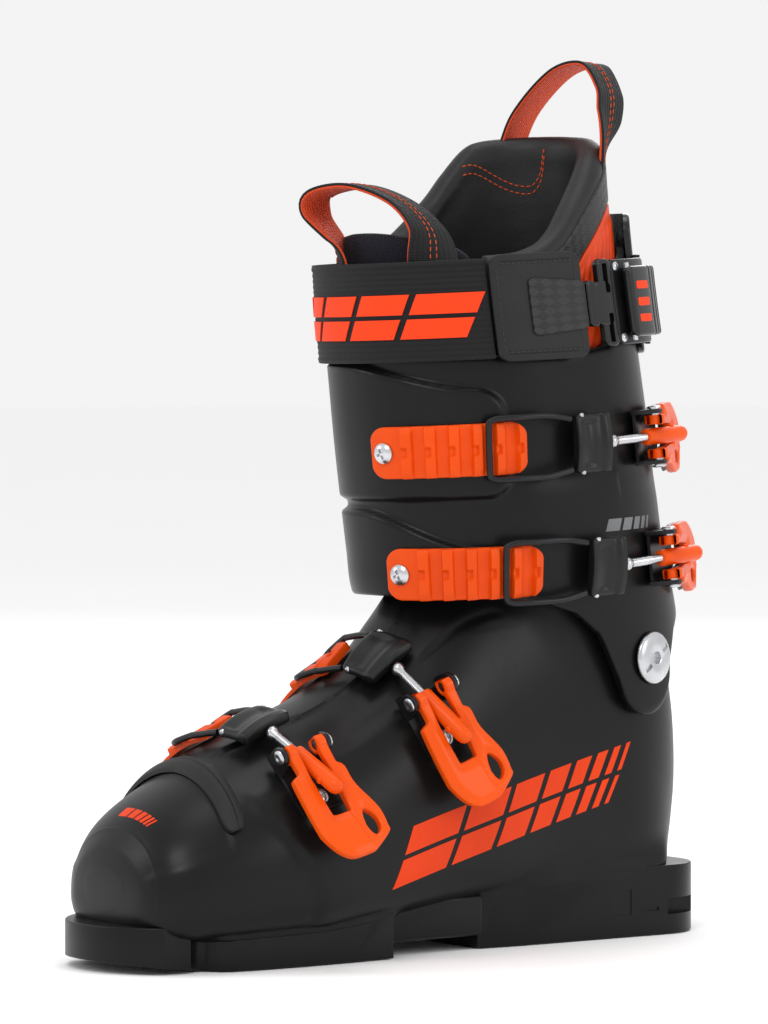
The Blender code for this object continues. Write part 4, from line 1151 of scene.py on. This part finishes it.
def strap_set():
    """The strap round the top: ribbed webbing, patch, hook, cam buckle and rear webbing."""
    middle = (STRAP_BOTTOM + STRAP_TOP) / 2
    place = on_cuff(middle)
    scale = DEGREE_LENGTH

    def ribs(u, v):
        edge = 0.25 * step(18.6 - np.abs(v), 0.8)
        return 6.4 + 0.11 * np.cos(v * 2 * np.pi / 2.4) - edge
    mesh = plate_mesh("power_strap", place, -150 * scale, 65.5 * scale, 21, ribs, 4.6, 0.6, 1.0,
                      2.0, 118)
    piece("strap_webbing", mesh, WEBBING, "cuff", "black_webbing", ["power_strap"])

    def patch_top(u, v):
        return 8.0 - 0.55 * ridge(np.abs(v) - 19.4, 1.1) - 0.45 * step(np.abs(v) - 20.6, 0.8)
    mesh = plate_mesh("strap_patch", place, 66.2 * scale, 97 * scale, 22.5, patch_top, 4.6, 0.9,
                      4.0, 0.7, 60)
    piece("strap_patch_leather", mesh, PATCH_LEATHER, "cuff", "black_webbing", ["strap_patch"])
    us = np.concatenate([np.linspace(69, 94, 30), np.full(20, 94.5), np.linspace(94, 69, 30),
                         np.full(20, 68.5)]) * scale
    vs = np.concatenate([np.full(30, 18.6), np.linspace(18, -18, 20), np.full(30, -18.6),
                         np.linspace(-18, 18, 20)])
    path = place(us, vs, 8.05 + 0 * us)
    piece("strap_patch_stitch", stitches("strap_patch_stitch", path, 2.6, 1.8, 0.3), DARK_THREAD, "cuff", "black_webbing")

    def tongue(u, v, h):
        return place(u, v * (1 - 0.012 * (u - 80 * scale)), h)
    mesh = plate_mesh("strap_tab", tongue, 79 * scale, 97.2 * scale, 12.5, 9.1, 7.6, 0.6, 2.5, 0.8,
                      30)
    piece("strap_tab", mesh, TWILL, "cuff", "black_webbing")

    hook = []
    for low, high, half, at, bottom, top in ((98, 102.2, 10.0, 0, 5.2, 8.6),
                                             (101.2, 108.6, 9.4, 0, 7.2, 8.8),
                                             (104, 110.5, 18.5, 0, 5.2, 8.0)):
        def shifted(u, v, h, at=at):
            return place(u, v + at, h)
        hook.append(plate_mesh("hook", shifted, low * scale, high * scale, half, top, bottom, 0.7,
                               2.4, 0.8, 30))
    tools = [(mesh, "UNION") for mesh in hook[1:]]
    for side in (-1, 1):
        def window(u, v, h, side=side):
            return place(u, v + side * 10.5, h)
        tools.append((plate_mesh("window", window, 106.0 * scale, 108.3 * scale, 6.3, 14, 2, 0.2,
                                 0.6, 0.8, 12),
                      "DIFFERENCE"))
    piece("strap_hook_plate", combined(hook[0], tools, "strap_hook_plate"), GLOSS_BLACK, "cuff", "gloss_black",
          ["strap_hook"])

    frame_plate = plate_mesh("frame", place, 111.3 * scale, 140 * scale, 18, 7.2, 4.8, 0.6, 2.2,
                             0.8, 40)
    window = plate_mesh("window", place, 121 * scale, 128 * scale, 13, 12, 2, 0.2, 1.0, 1.0, 20)
    piece("strap_frame_plate", combined(frame_plate, [(window, "DIFFERENCE")], "strap_frame_plate"),
          BLACK_STEEL,
          "cuff", "black_steel", ["strap_frame"])
    for name, v in (("strap_screw_top", 15.2), ("strap_screw_low", -15.2)):
        centre = Vector(place(np.array(113.6 * scale), np.array(v), np.array(7.2)))
        near = Vector(place(np.array(114.6 * scale), np.array(v), np.array(7.2)))
        above = Vector(place(np.array(113.6 * scale), np.array(v + 1), np.array(7.2)))
        x = (near - centre).normalized()
        z = x.cross((above - centre).normalized()).normalized()
        matrix = Matrix((x, z.cross(x), z)).transposed().to_4x4()
        matrix.translation = centre
        piece(name, screw_mesh(name, matrix, 1.9, 1.2), BRIGHT_STEEL, "cuff", "bright_steel")

    def cam_top(u, v):
        turn = u / scale
        slope = 12.9 - 0.055 * np.maximum(turn - 126, 0)
        return slope - 0.5 * (np.cos(turn * 1.9) > 0.55) * (turn > 128)
    cam = plate_mesh("cam", place, 114.8 * scale, 138 * scale, 15, cam_top, 8.8, 1.3, 2.2, 0.45, 26,
                     both=True)
    piece("strap_cam_block", cam, GLOSS_BLACK, "strap_cam", "gloss_black", ["strap_cam"])
    bars = []
    for k, length in enumerate((8, 8, 8)):
        def bar_place(u, v, h, k=k):
            return place(u, v + (k - 1) * 7.0, h)
        bars.append(plate_mesh("bar", bar_place, 118 * scale, (118 + length) * scale, 1.7, 13.05,
                               12.6, 0.15, 0.6, 0.7, 6))
    piece("strap_cam_mark", joined("strap_cam_mark", bars), PRINT_BRIGHT, "strap_cam",
          "orange_plastic")

    def tail_ribs(u, v):
        return 5.9 + 0.25 * np.cos(v * 2 * np.pi / 2.4)
    mesh = plate_mesh("rear_strap", place, 141 * scale, 209 * scale, 19, tail_ribs, 4.0, 0.6, 1.0,
                      2.0, 100)
    piece("strap_tail", mesh, WEBBING, "cuff", "black_webbing", ["rear_strap"])

    def spoiler_top(u, v):
        turn = u / scale
        return 3.0 - 0.9 * ridge(np.abs(turn - 180) - 26, 1.8) - 0.7 * ridge(v + 22, 1.2)
    mesh = plate_mesh("spoiler", on_cuff(276), 143 * scale, 217 * scale, 30, spoiler_top, 0.35, 1.2,
                      9, 1.0, 60)
    piece("rear_spoiler_cap", mesh, GLOSS_BLACK, "cuff", "gloss_black", ["rear_spoiler"])


# ---------------------------------------------------------------- buckles

CATCH_LENGTH = 17.0
CATCH_HALF_WIDTH = 12.5
LADDER_HALF_WIDTH = 11.0
TOOTH_PITCH = 9.0
TOOTH_TOP = 6.0
VALLEY = 2.6
BAIL_RADIUS = 1.4
BAIL_EYE = 1.8
HINGE_HEIGHT = 9.5
HINGE_BACK = 12.0
BARREL_PIVOT = (16.0, 5.0)
BARREL_RADIUS = 3.6
PIN_RADIUS = 2.0

# name, sections, section index and its change per radian of turn, turn at the base's middle,
# lean of the closed lever, catch distance from the base's middle, bail length, side of the
# lever's finger lobe, height of the flap under the ladder, teeth beyond and before the bail
BUCKLES = [
    ("toe", SHELL, 5.62, 0.30, 53, 6, 28, 28, 1, 1.6, 1, 2),
    ("instep", SHELL, 7.88, 0.42, 61, 6, 28, 28, 1, 1.8, 1, 2),
    ("lower_cuff", CUFF, float(cuff_index(160)), 0.0, 133, 12, 38, 38, -1, CUFF_FLAP, 4, 2),
    ("upper_cuff", CUFF, float(cuff_index(211)), 0.0, 133, 12, 38, 38, -1, CUFF_FLAP, 4, 2),
]


class Band:
    """The line round the boot that a buckle follows, measured in millimetres from its base."""

    def __init__(self, rows, index, slope, middle_turn):
        self.rows, self.index, self.slope = rows, index, slope
        self.middle = math.radians(middle_turn)
        self.turns = self.middle - np.arange(0, 3.0, 0.01)
        steps = np.linalg.norm(np.diff(self.skin(self.turns), axis=0), axis=1)
        self.lengths = np.concatenate([[0], np.cumsum(steps)]) / MM

    def skin(self, turn, lift=0.0, shift=0.0):
        """Points of the boot's skin on the line."""
        turn = np.asarray(turn, float)
        return skin(self.rows, self.index + self.slope * turn + shift, turn, lift)

    def point(self, distance, across, height):
        """Points at distances along the line, across it and above the skin."""
        distance, across, height = np.broadcast_arrays(distance, np.asarray(across, float), height)
        turn = np.interp(-distance, self.lengths, self.turns)
        small = 0.02
        along = unit(self.skin(turn + small) - self.skin(turn - small))
        lead = unit(self.skin(turn, 0, small) - self.skin(turn, 0, -small))
        normal = unit(np.cross(along, lead))
        side = np.cross(normal, along)
        return self.skin(turn) + (side * across[..., None] + normal * height[..., None]) * MM

    def frame(self, distance=0.0):
        """The skin's frame: X along the line, Y across it and Z outwards."""
        origin = Vector(self.point(distance, 0.0, 0.0))
        across = (Vector(self.point(distance, 1.0, 0.0)) - origin).normalized()
        normal = (Vector(self.point(distance, 0.0, 1.0)) - origin).normalized()
        made = Matrix((across.cross(normal), across, normal)).transposed().to_4x4()
        made.translation = origin
        return made


def screw_mesh(name, matrix, radius, height, cross=True):
    """A domed screw head with a cross or hex recess, standing on the matrix's XY plane."""
    profile = [(0, height), (radius * 0.45, height * 0.96), (radius * 0.8, height * 0.72),
               (radius, height * 0.3),
               (radius, 0.0), (0, 0.0)]
    head = turned_mesh(name, profile, matrix, 40)
    tools = []
    if cross:
        for turn in (20, 110):
            slot = box_mesh("slot", (-radius * 0.55, -radius * 0.13, height * 0.35),
                            (radius * 0.55, radius * 0.13, height * 3),
                            matrix @ Matrix.Rotation(math.radians(turn), 4, "Z"))
            tools.append((slot, "DIFFERENCE"))
    else:
        corners = [(radius * 0.45 * math.cos(a),
                    radius * 0.45 * math.sin(a)) for a in np.arange(6) * math.pi / 3]
        tools.append((prism_mesh("socket", corners, height * 0.3, height * 3, matrix),
                      "DIFFERENCE"))
    return combined(head, tools, name, 30)


def smooth_outline(points, per_step=7):
    """A closed outline rounded through its points."""
    return curve_through([(x, y, 0) for x, y in points], per_step, closed=True)[:, :2]


def inside_distance(points, outline):
    """Signed distance to an outline, positive inside."""
    a, b = outline, np.roll(outline, -1, 0)
    x, y = points[:, 0][:, None], points[:, 1][:, None]
    edge = b - a
    length = (edge ** 2).sum(1)
    along = np.clip(((x - a[:, 0]) * edge[:, 0] + (y - a[:, 1]) * edge[:, 1]) / length, 0, 1)
    distance = np.hypot(x - a[:, 0] - along * edge[:, 0], y - a[:, 1] - along * edge[:, 1]).min(1)
    crosses = (a[:, 1] > y) != (b[:, 1] > y)
    at = a[:, 0] + (y - a[:, 1]) / np.where(edge[:, 1] == 0, 1e-9, edge[:, 1]) * edge[:, 0]
    inside = (crosses & (x < at)).sum(1) % 2 == 1
    return np.where(inside, distance, -distance)


LEVER_VOXEL = 0.55


def lever_mesh(name, lobe, layer=False):
    """The lever in its own frame: two arms, a crowned body and a finger lobe with a hole; or the
    black layer under its arms."""
    plus = [(-1, 5.2), (-1, 9.2), (9.4, 9.3), (10.6, 9.6), (13.4, 12.0), (22, 12.6), (34.5, 16.9),
            (43.5, 16.6), (46.5, 15.4), (51.3, 6.6)]
    minus = [(51.8, 4.6), (51.8, -2.5), (50.6, -6.6), (46.5, -10.4), (40, -13.2), (35, -13.9),
             (14, -13.6),
             (11.6, -12.8), (10.2, -9.6), (9, -9.2), (-1, -9.2), (-1, -5.2)]
    slot = [(14, -5.2), (17.5, -4.9), (30, -4.4), (31.6, -3.4), (31.8, 3.4), (30.6, 4.4),
            (17.5, 4.9), (14, 5.2)]
    hole = [(33.5, 9.6), (38.0, 13.2), (43.4, 12.6), (45.4, 9.0), (40, 7.4)]
    outline = smooth_outline([(x, y * lobe) for x, y in plus + minus + slot], 5)
    hole = smooth_outline([(x, y * lobe) for x, y in hole], 6)
    xs = np.arange(-3, 54, LEVER_VOXEL)
    ys = np.arange(-19, 19, LEVER_VOXEL)
    zs = np.arange(-4.5, 7.5, LEVER_VOXEL)
    gx, gy = np.meshgrid(xs, ys, indexing="ij")
    flat = np.stack([gx.ravel(), gy.ravel()], -1)
    body = inside_distance(flat, outline)
    cut = -inside_distance(flat, hole)
    plan = np.minimum(body, cut).reshape(gx.shape)
    bend = 0.0016 * (gx - 20) ** 2 * (gx > 20)
    shoulder = 0.9 * smooth((plan - 0.4) / 4.0) * step(gx - 9, 4)
    line = 0.55 * ridge(lobe * gy - 3.4 - 0.10 * (gx - 30), 0.8) * step(gx - 30, 3) * step(49 - gx,
                                                                                           2)
    crown = 3.5 + shoulder + bend - line
    under = -0.4 + bend
    if layer:
        crown = under + 0.3 - 1.2 * smooth((0.9 - plan) / 0.6)
        under = under - 1.9
    middle, half = (crown + under) / 2, (crown - under) / 2
    radius = 0.8
    depth = np.abs(zs[None, None, :] - middle[..., None]) - (half[..., None] - radius)
    side = -(plan[..., None] - radius) + 0 * depth
    field = np.hypot(np.maximum(depth, 0),
                     np.maximum(side, 0)) + np.minimum(np.maximum(depth, side), 0) - radius
    knuckle = np.hypot(gx[..., None], zs[None, None, :]) - 4.4
    wall = np.maximum(np.abs(np.abs(gy[..., None]) - 7.3) - 2.0, knuckle)
    if layer:
        field = np.maximum(field, gx[..., None] - 33 + 0 * field)
        field = np.maximum(field, 6.0 - gx[..., None] + 0 * field)
    else:
        field = np.minimum(field, wall)
    bore = PIN_RADIUS + 0.3 - np.hypot(gx[..., None], zs[None, None, :])
    field = np.maximum(field, bore + 0 * gy[..., None])
    return contour_mesh(name, field, xs, ys, zs)


def contour_mesh(name, field, xs, ys, zs):
    """The surface where a sampled distance field is zero, by surface nets; coordinates in mm."""
    inside = field < 0
    count = np.zeros(tuple(n - 1 for n in field.shape))
    total = np.zeros((*count.shape, 3))
    corners = [(i, j, k) for i in (0, 1) for j in (0, 1) for k in (0, 1)]
    shape = count.shape

    def part(array, corner):
        i, j, k = corner
        return array[i:i + shape[0], j:j + shape[1], k:k + shape[2]]
    for a in corners:
        for axis in range(3):
            if a[axis]:
                continue
            b = tuple(1 if n == axis else a[n] for n in range(3))
            fa, fb = part(field, a), part(field, b)
            crossed = (fa < 0) != (fb < 0)
            share = np.where(crossed, fa / np.where(crossed, fa - fb, 1), 0)
            for n in range(3):
                total[..., n] += np.where(crossed, a[n] + (share if n == axis else 0), 0)
            count += crossed
    used = count > 0
    number = -np.ones(shape, int)
    number[used] = np.arange(used.sum())
    cell = np.argwhere(used)
    local = total[used] / count[used][:, None]
    spacing = np.array([xs[1] - xs[0], ys[1] - ys[0], zs[1] - zs[0]])
    points = (np.array([xs[0], ys[0], zs[0]]) + (cell + local) * spacing) * MM
    faces = []
    for axis in range(3):
        u, v = [n for n in range(3) if n != axis]
        low = [slice(1, -1)] * 3
        high = [slice(1, -1)] * 3
        low[axis] = slice(0, -1)
        high[axis] = slice(1, None)
        crossed = inside[tuple(low)] != inside[tuple(high)]
        where = np.argwhere(crossed)
        where = where + np.array([0 if n == axis else 1 for n in range(3)])
        quad = []
        for du, dv in ((0, 0), (1, 0), (1, 1), (0, 1)):
            at = where.copy()
            at[:, u] -= du
            at[:, v] -= dv
            quad.append(number[at[:, 0], at[:, 1], at[:, 2]])
        faces.append(np.stack(quad, -1))
    return new_mesh(name, points, np.concatenate(faces), None, 50)


def base_mesh(name, base_frame, hinge):
    """The steel base: a plate with two ears that carry the lever's pins."""
    plate = box_mesh(name, (-15, -11.8, 0.35), (13, 11.8, 1.7), base_frame)
    ears = []
    for side in (-1, 1):
        low, high = sorted((side * 10, side * 11.8))
        profile = [(-17, 0.35), (-6, 0.35), (-7.5, 7), (-8.5, 11), (-11, 13), (-14, 12.6),
                   (-16.4, 10), (-17, 5)]
        turn = Matrix(((1, 0, 0, 0), (0, 0, -1, 0), (0, 1, 0, 0), (0, 0, 0, 1)))
        ears.append((prism_mesh("ear", profile, -high, -low, base_frame @ turn), "UNION"))
    axis = Matrix.Rotation(math.radians(-90), 4, "X")
    hole = turned_mesh("hole", [(PIN_RADIUS + 0.3, -20), (PIN_RADIUS + 0.3, 20)], hinge @ axis, 24)
    return bevelled(combined(plate, ears + [(hole, "DIFFERENCE")], name), 0.45, 2)


def buckle(name, rows, index, slope, turn, lean, catch_at, bail_length, lobe, flap, far_teeth,
           near_teeth):
    """One buckle's visible pieces, on its own bodies."""
    band = Band(rows, index, slope, turn)
    host = "lower_shell" if rows is SHELL else "cuff"
    base_frame = band.frame()
    hinge = base_frame @ Matrix.Translation((-HINGE_BACK * MM, 0, HINGE_HEIGHT * MM))
    lever_frame = hinge @ Matrix.Rotation(math.radians(lean), 4, "Y")
    across_axis = Matrix.Rotation(math.radians(-90), 4, "X")

    piece(name + "_base_plate", base_mesh(name + "_base_plate", base_frame, hinge), BLACK_STEEL,
          host,
          "black_steel", [name + "_base"])
    screw_at = base_frame @ Matrix.Translation((7 * MM, 0, 1.7 * MM))
    piece(name + "_base_screw", screw_mesh(name + "_base_screw", screw_at, 3.4, 1.5, False),
          BRIGHT_STEEL, host,
          "bright_steel")

    lever = lever_mesh(name + "_lever_arm", lobe)
    lever.transform(lever_frame)
    if host == "cuff":
        under = lever_mesh(name + "_lever_pad", lobe, True)
        under.transform(lever_frame)
        piece(name + "_lever_pad", under, CATCH_BLACK, name + "_lever", "shell_black")
    piece(name + "_lever_arm", lever, ORANGE, name + "_lever", "orange_plastic", [name + "_lever"])
    for side, label in ((-1, "front"), (1, "rear")):
        profile = [(0, 13.0), (1.0, 13.2), (1.2, 13.3), (2.3, 13.2), (3.0, 12.8), (3.1, 12.2),
                   (PIN_RADIUS, 12.2),
                   (PIN_RADIUS, 5.6), (0, 5.6)]
        matrix = hinge @ Matrix.Rotation(math.radians(-90 * side), 4, "X")
        full = f"{name}_pin_{label}"
        piece(full + "_rivet", turned_mesh(full, profile, matrix, 36), BRIGHT_STEEL, host,
              "bright_steel", [full])

    barrel_at = lever_frame @ (Vector((BARREL_PIVOT[0], 0, BARREL_PIVOT[1])) * MM)
    catch_rear = Vector(band.point(-catch_at, 0.0, 7.0))
    pull = (catch_rear - barrel_at).normalized()
    across = lever_frame.to_3x3().col[1].normalized()
    across = (across - pull * across.dot(pull)).normalized()
    link = Matrix((across.cross(pull), across, pull)).transposed().to_4x4()
    link.translation = barrel_at
    r = BARREL_RADIUS
    barrel = turned_mesh("barrel",
                         [(0, 19.5), (r * 0.76, 19.5), (r * 0.93, 19.1), (r, 18.2), (r, -5.5),
                                    (r * 0.92, -7.3), (r * 0.7, -8.6), (r * 0.36, -9.3), (0, -9.5)],
                         link, 40)
    trunnion = turned_mesh("trunnion",
                           [(0, 4.2), (1.2, 4.2), (1.4, 4.0), (1.4, -4.0), (1.2, -4.2), (0, -4.2)],
                           link @ across_axis, 28)
    piece(name + "_barrel_sleeve", combined(barrel, [(trunnion, "UNION")], name + "_barrel_sleeve"),
          ORANGE,
          name + "_link", "orange_plastic", [name + "_barrel"])
    reach = (catch_rear - barrel_at).length / MM
    profile = [(0, reach - 0.3), (1.5, reach - 0.5), (2.5, reach - 1.3), (3.0, reach - 2.7),
               (2.8, reach - 4.0),
               (2.0, reach - 5.4)]
    threads = np.linspace(reach - 6, 18.2, max(8, int((reach - 24) / 0.35)))
    profile += [(1.95 - 0.13 * (k % 2), float(z)) for k, z in enumerate(threads)]
    profile += [(1.9, 17.4), (0, 17.4)]
    piece(name + "_rod_steel", turned_mesh(name + "_rod_steel", profile, link, 28), BRIGHT_STEEL,
          name + "_link",
          "bright_steel", [name + "_rod"])

    front = -catch_at - CATCH_LENGTH
    lift = flap * 0.3

    def catch_top(u, v):
        roll = 1.2 * smooth((u - (-catch_at - 6)) / 3) * step(-catch_at - 0.4 - u, 0.8)
        dish = 1.3 * np.exp(-((u - front - 6.5) / 3.4) ** 2) * step(9.5 - np.abs(v), 2.5)
        return 9.4 + lift + roll - dish - 0.012 * v ** 2
    catch = plate_mesh(name + "_catch_block", band.point, front, -catch_at, CATCH_HALF_WIDTH,
                       catch_top, 4.2 + lift,
                       0.9, 1.8, 0.45, 30, both=True)
    piece(name + "_catch_block", catch, CATCH_BLACK, name + "_link", "shell_black",
          [name + "_catch"])
    for side, label in ((-1, "front"), (1, "rear")):
        eye = Vector(band.point(front + 3.0, side * CATCH_HALF_WIDTH, 6.8 + lift))
        outward = Vector(band.point(front + 3.0, side * (CATCH_HALF_WIDTH + 1), 6.8 + lift)) - eye
        matrix = Matrix.Translation(eye) @ outward.to_track_quat("Z", "Y").to_matrix().to_4x4()
        pin = turned_mesh("eye", [(0, 0.5), (0.9, 0.45), (1.2, 0.1), (1.2, -1.0), (0, -1.0)],
                          matrix, 20)
        piece(f"{name}_catch_pin_{label}", pin, BRIGHT_STEEL, name + "_link", "bright_steel")

    cross = front - bail_length
    side_line = [(front - BAIL_EYE, 10.6), (front - 6, 11.6), (front - 14, 12.9),
                 (cross + 12, 12.9),
                 (cross + 4, 12.9), (cross + 1.2, 12.3), (cross, 11.2)]
    heights = [5.6, 5.2, 5.0, 4.8, 4.8, 4.8, 4.8]
    lifts = [lift + flap * 0.7 * min(1.0, k / 3) for k in range(7)]
    half = [(d, w, h + extra) for (d, w), h, extra in zip(side_line, heights, lifts)]
    middle = [(cross - 0.2, 6.0, half[-1][2]), (cross - 0.2, 0.0, half[-1][2]),
              (cross - 0.2, -6.0, half[-1][2])]
    route = np.array(half + middle + [(d, -w, h) for d, w, h in reversed(half)])
    path = curve_through([band.point(*(np.array(c) for c in step_of)) for step_of in route], 5)
    piece(name + "_bail_wire", tube_mesh(name + "_bail_wire", path, BAIL_RADIUS, 14), BLACK_STEEL,
          name + "_bail",
          "black_steel", [name + "_bail"])

    start = cross - 2.3 - TOOTH_PITCH * far_teeth - 9
    end = cross + 2.3 + TOOTH_PITCH * (near_teeth - 1) + 4.4
    first_tooth = cross + 2.3 - TOOTH_PITCH * far_teeth

    def ladder_top(u, v):
        phase = (u - first_tooth) % TOOTH_PITCH
        tooth = smooth((phase + 0.1) / 0.8) * smooth((5.0 - phase) / 0.9) * (u > first_tooth - 0.3)
        notch = 1.5 * step(1.9 - np.abs(v), 0.8) * tooth * step(2.6 - phase, 0.8)
        bevel = 0.9 * smooth((np.abs(v) - 7.5) / 3.5) * tooth
        slope = -0.36 * np.clip(phase - 1.0, -1, 4) * tooth
        return flap + VALLEY + (TOOTH_TOP - VALLEY - 0.4) * tooth + slope - notch - bevel
    ladder = plate_mesh(name + "_ladder_teeth", band.point, start, end, LADDER_HALF_WIDTH,
                        ladder_top, flap + 0.9,
                        0.7, 6.5 if far_teeth > 1 else 3.5, 0.3, 34, sharp=32)
    piece(name + "_ladder_teeth", ladder, LADDER_ORANGE, host, "orange_plastic", [name + "_ladder"])
    matrix = band.frame(start + 6) @ Matrix.Translation((0, 0, (flap + VALLEY) * MM))
    piece(name + "_ladder_screw_head", screw_mesh(name + "_ladder_screw_head", matrix, 4.4, 2.2),
          BRIGHT_STEEL, host,
          "bright_steel", [name + "_ladder_screw"])


def toe_gasket():
    """The rubber strip that arches over the toe box, where the shell's flaps meet it."""
    def place(u, v, h):
        share = (v + 13) / 26
        degrees = u / 0.8
        return skin(SHELL, 4.15 + 0.5 * share - 0.15 * np.abs(degrees / 60), np.radians(degrees), h)

    def top(u, v):
        return 3.2 - 1.4 * (v / 13) ** 2 - 0.5 * ridge(v - 3, 1.4)
    mesh = plate_mesh("gasket", place, -62 * 0.8, 61 * 0.8, 12, top, 0.35, 0.8, 8, 0.8, 30)
    piece("toe_gasket_rubber", mesh, RUBBER, "lower_shell", "rubber_black", ["toe_gasket"])


# ---------------------------------------------------------------- graphics

def bar_patch(place, corners, thickness=0.16, count=14):
    """A thin four-sided mark on a surface: corners are (u, v) in order, place(u, v, h)."""
    corners = np.array(corners, float)
    a = np.linspace(0, 1, count)
    s, t = np.meshgrid(a, np.linspace(0, 1, 6), indexing="ij")
    flat = (corners[0] * ((1 - s) * (1 - t))[..., None] + corners[1] * (s * (1 - t))[..., None]
            + corners[2] * (s * t)[..., None] + corners[3] * ((1 - s) * t)[..., None])
    u, v = flat[..., 0], flat[..., 1]
    upper = place(u, v, 0 * u + thickness)
    lower = place(u, v, 0 * u - 0.3)
    count_u, count_v = u.shape
    faces = grid_faces(count_u, count_v, False, False)
    total = count_u * count_v
    ring = ([(i, 0) for i in range(count_u)] + [(count_u - 1, j) for j in range(1, count_v)]
            + [(i, count_v - 1) for i in range(count_u - 2, -1, -1)] + [(0,
                                                                         j) for j in range(count_v - 2, 0, -1)])
    ids = [i * count_v + j for i, j in ring]
    wall = [(a, b, b + total, a + total) for a, b in zip(ids, ids[1:] + ids[:1])]
    return new_mesh("bar", np.concatenate([upper.reshape(-1, 3), lower.reshape(-1, 3)]),
                    [*faces, *(faces + total), *wall], None, 30)


def slanted_bars(start, widths, gap, height, lean):
    """Corners of upright bars leaning to one side, one after the other."""
    found = []
    at = start
    for width in widths:
        found.append([(at, -height), (at + width, -height), (at + width + lean, height),
                      (at + lean, height)])
        at += width + gap
    return found


def graphics():
    """Plain slanted bars in the printed colours."""
    surface = BVHTree.FromObject(bpy.data.objects["shell"], bpy.context.evaluated_depsgraph_get())

    def on_side(u, v, h):
        """The shell's outer side under a point of the side view: u along the boot, v up."""
        shape = u.shape
        found = []
        for y, z, lift in zip(u.ravel(), v.ravel(), h.ravel()):
            hit = surface.ray_cast(Vector((0.12, y * MM, z * MM)), Vector((-1, 0, 0)))
            if hit[0] is None:
                found.append((0.03, y * MM, z * MM))
            else:
                found.append(tuple(hit[0] + hit[1] * lift * MM))
        return np.array(found).reshape(*shape, 3)

    bars = []
    rise, lean, at = 0.245, 0.42, -30.0
    for width in (30, 22, 16, 11.5, 8, 5.5, 3.6, 2.2):
        for bottom, top in ((0, 12), (14.2, 26)):
            base = 33 + rise * (at + 16)
            bars.append(bar_patch(on_side, [
                (at + bottom * lean, base + bottom),
                (at + width + bottom * lean, base + rise * width + bottom),
                (at + width + top * lean, base + rise * width + top),
                (at + top * lean, base + top)]))
        at += width + 3.2
    piece("side_graphic", joined("side_graphic", bars), PRINT_ORANGE, "lower_shell",
          "orange_plastic")

    strap = on_cuff((STRAP_BOTTOM + STRAP_TOP) / 2 - 2)
    bars = []
    low = -46.0
    for width in (3, 5, 8, 11.5, 15, 19, 23):
        for bottom, top in ((-9.5, -1.0), (1.0, 9.5)):
            bars.append(bar_patch(lambda u, v, h: strap(u, v, h + 6.62), [
                (low + bottom * 0.4, bottom), (low + width + bottom * 0.4, bottom),
                (low + width + top * 0.4, top), (low + top * 0.4, top)]))
        low += width + 2.6
    piece("strap_graphic", joined("strap_graphic", bars), PRINT_BRIGHT, "cuff", "orange_webbing")

    def on_toe(u, v, h):
        return skin(SHELL, 2.55 + v / 13.0, np.radians(8 + u * 1.15),
                    h + shell_relief(2.55 + v / 13.0, np.radians(8 + u * 1.15)))
    bars = [bar_patch(on_toe, corners) for corners in slanted_bars(-12,
                                                                   (7, 5.2, 3.8, 2.6, 1.8, 1.2),
                                                                   1.3, 2.6, 1.8)]
    piece("toe_graphic", joined("toe_graphic", bars), PRINT_ORANGE, "lower_shell", "orange_plastic")

    def on_rear(u, v, h):
        return cuff_skin(u / DEGREE_LENGTH, 176 + v, h + cuff_relief(u / DEGREE_LENGTH, 176 + v))
    bars = [bar_patch(on_rear, corners, 0.12)
            for corners in slanted_bars(90, (6, 4.4, 3.2, 2.2, 1.4), 1.4, 2.6, 1.8)]
    piece("cuff_graphic", joined("cuff_graphic", bars), PRINT_GREY, "cuff", "shell_black")


lower_shell()
cuff()
pivot_screws()
liner_collar()
liner_panel()
liner_tongue()
liner_foot()
pull_loops()
strap_set()
toe_gasket()
for values in BUCKLES:
    buckle(*values)
graphics()

for node, material in (("boot_board", FOAM), ("strap_cam_pin", BRIGHT_STEEL)):
    node_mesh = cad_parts[node].data
    for number in range(len(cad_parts[node].material_slots)):
        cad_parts[node].material_slots[number].material = material
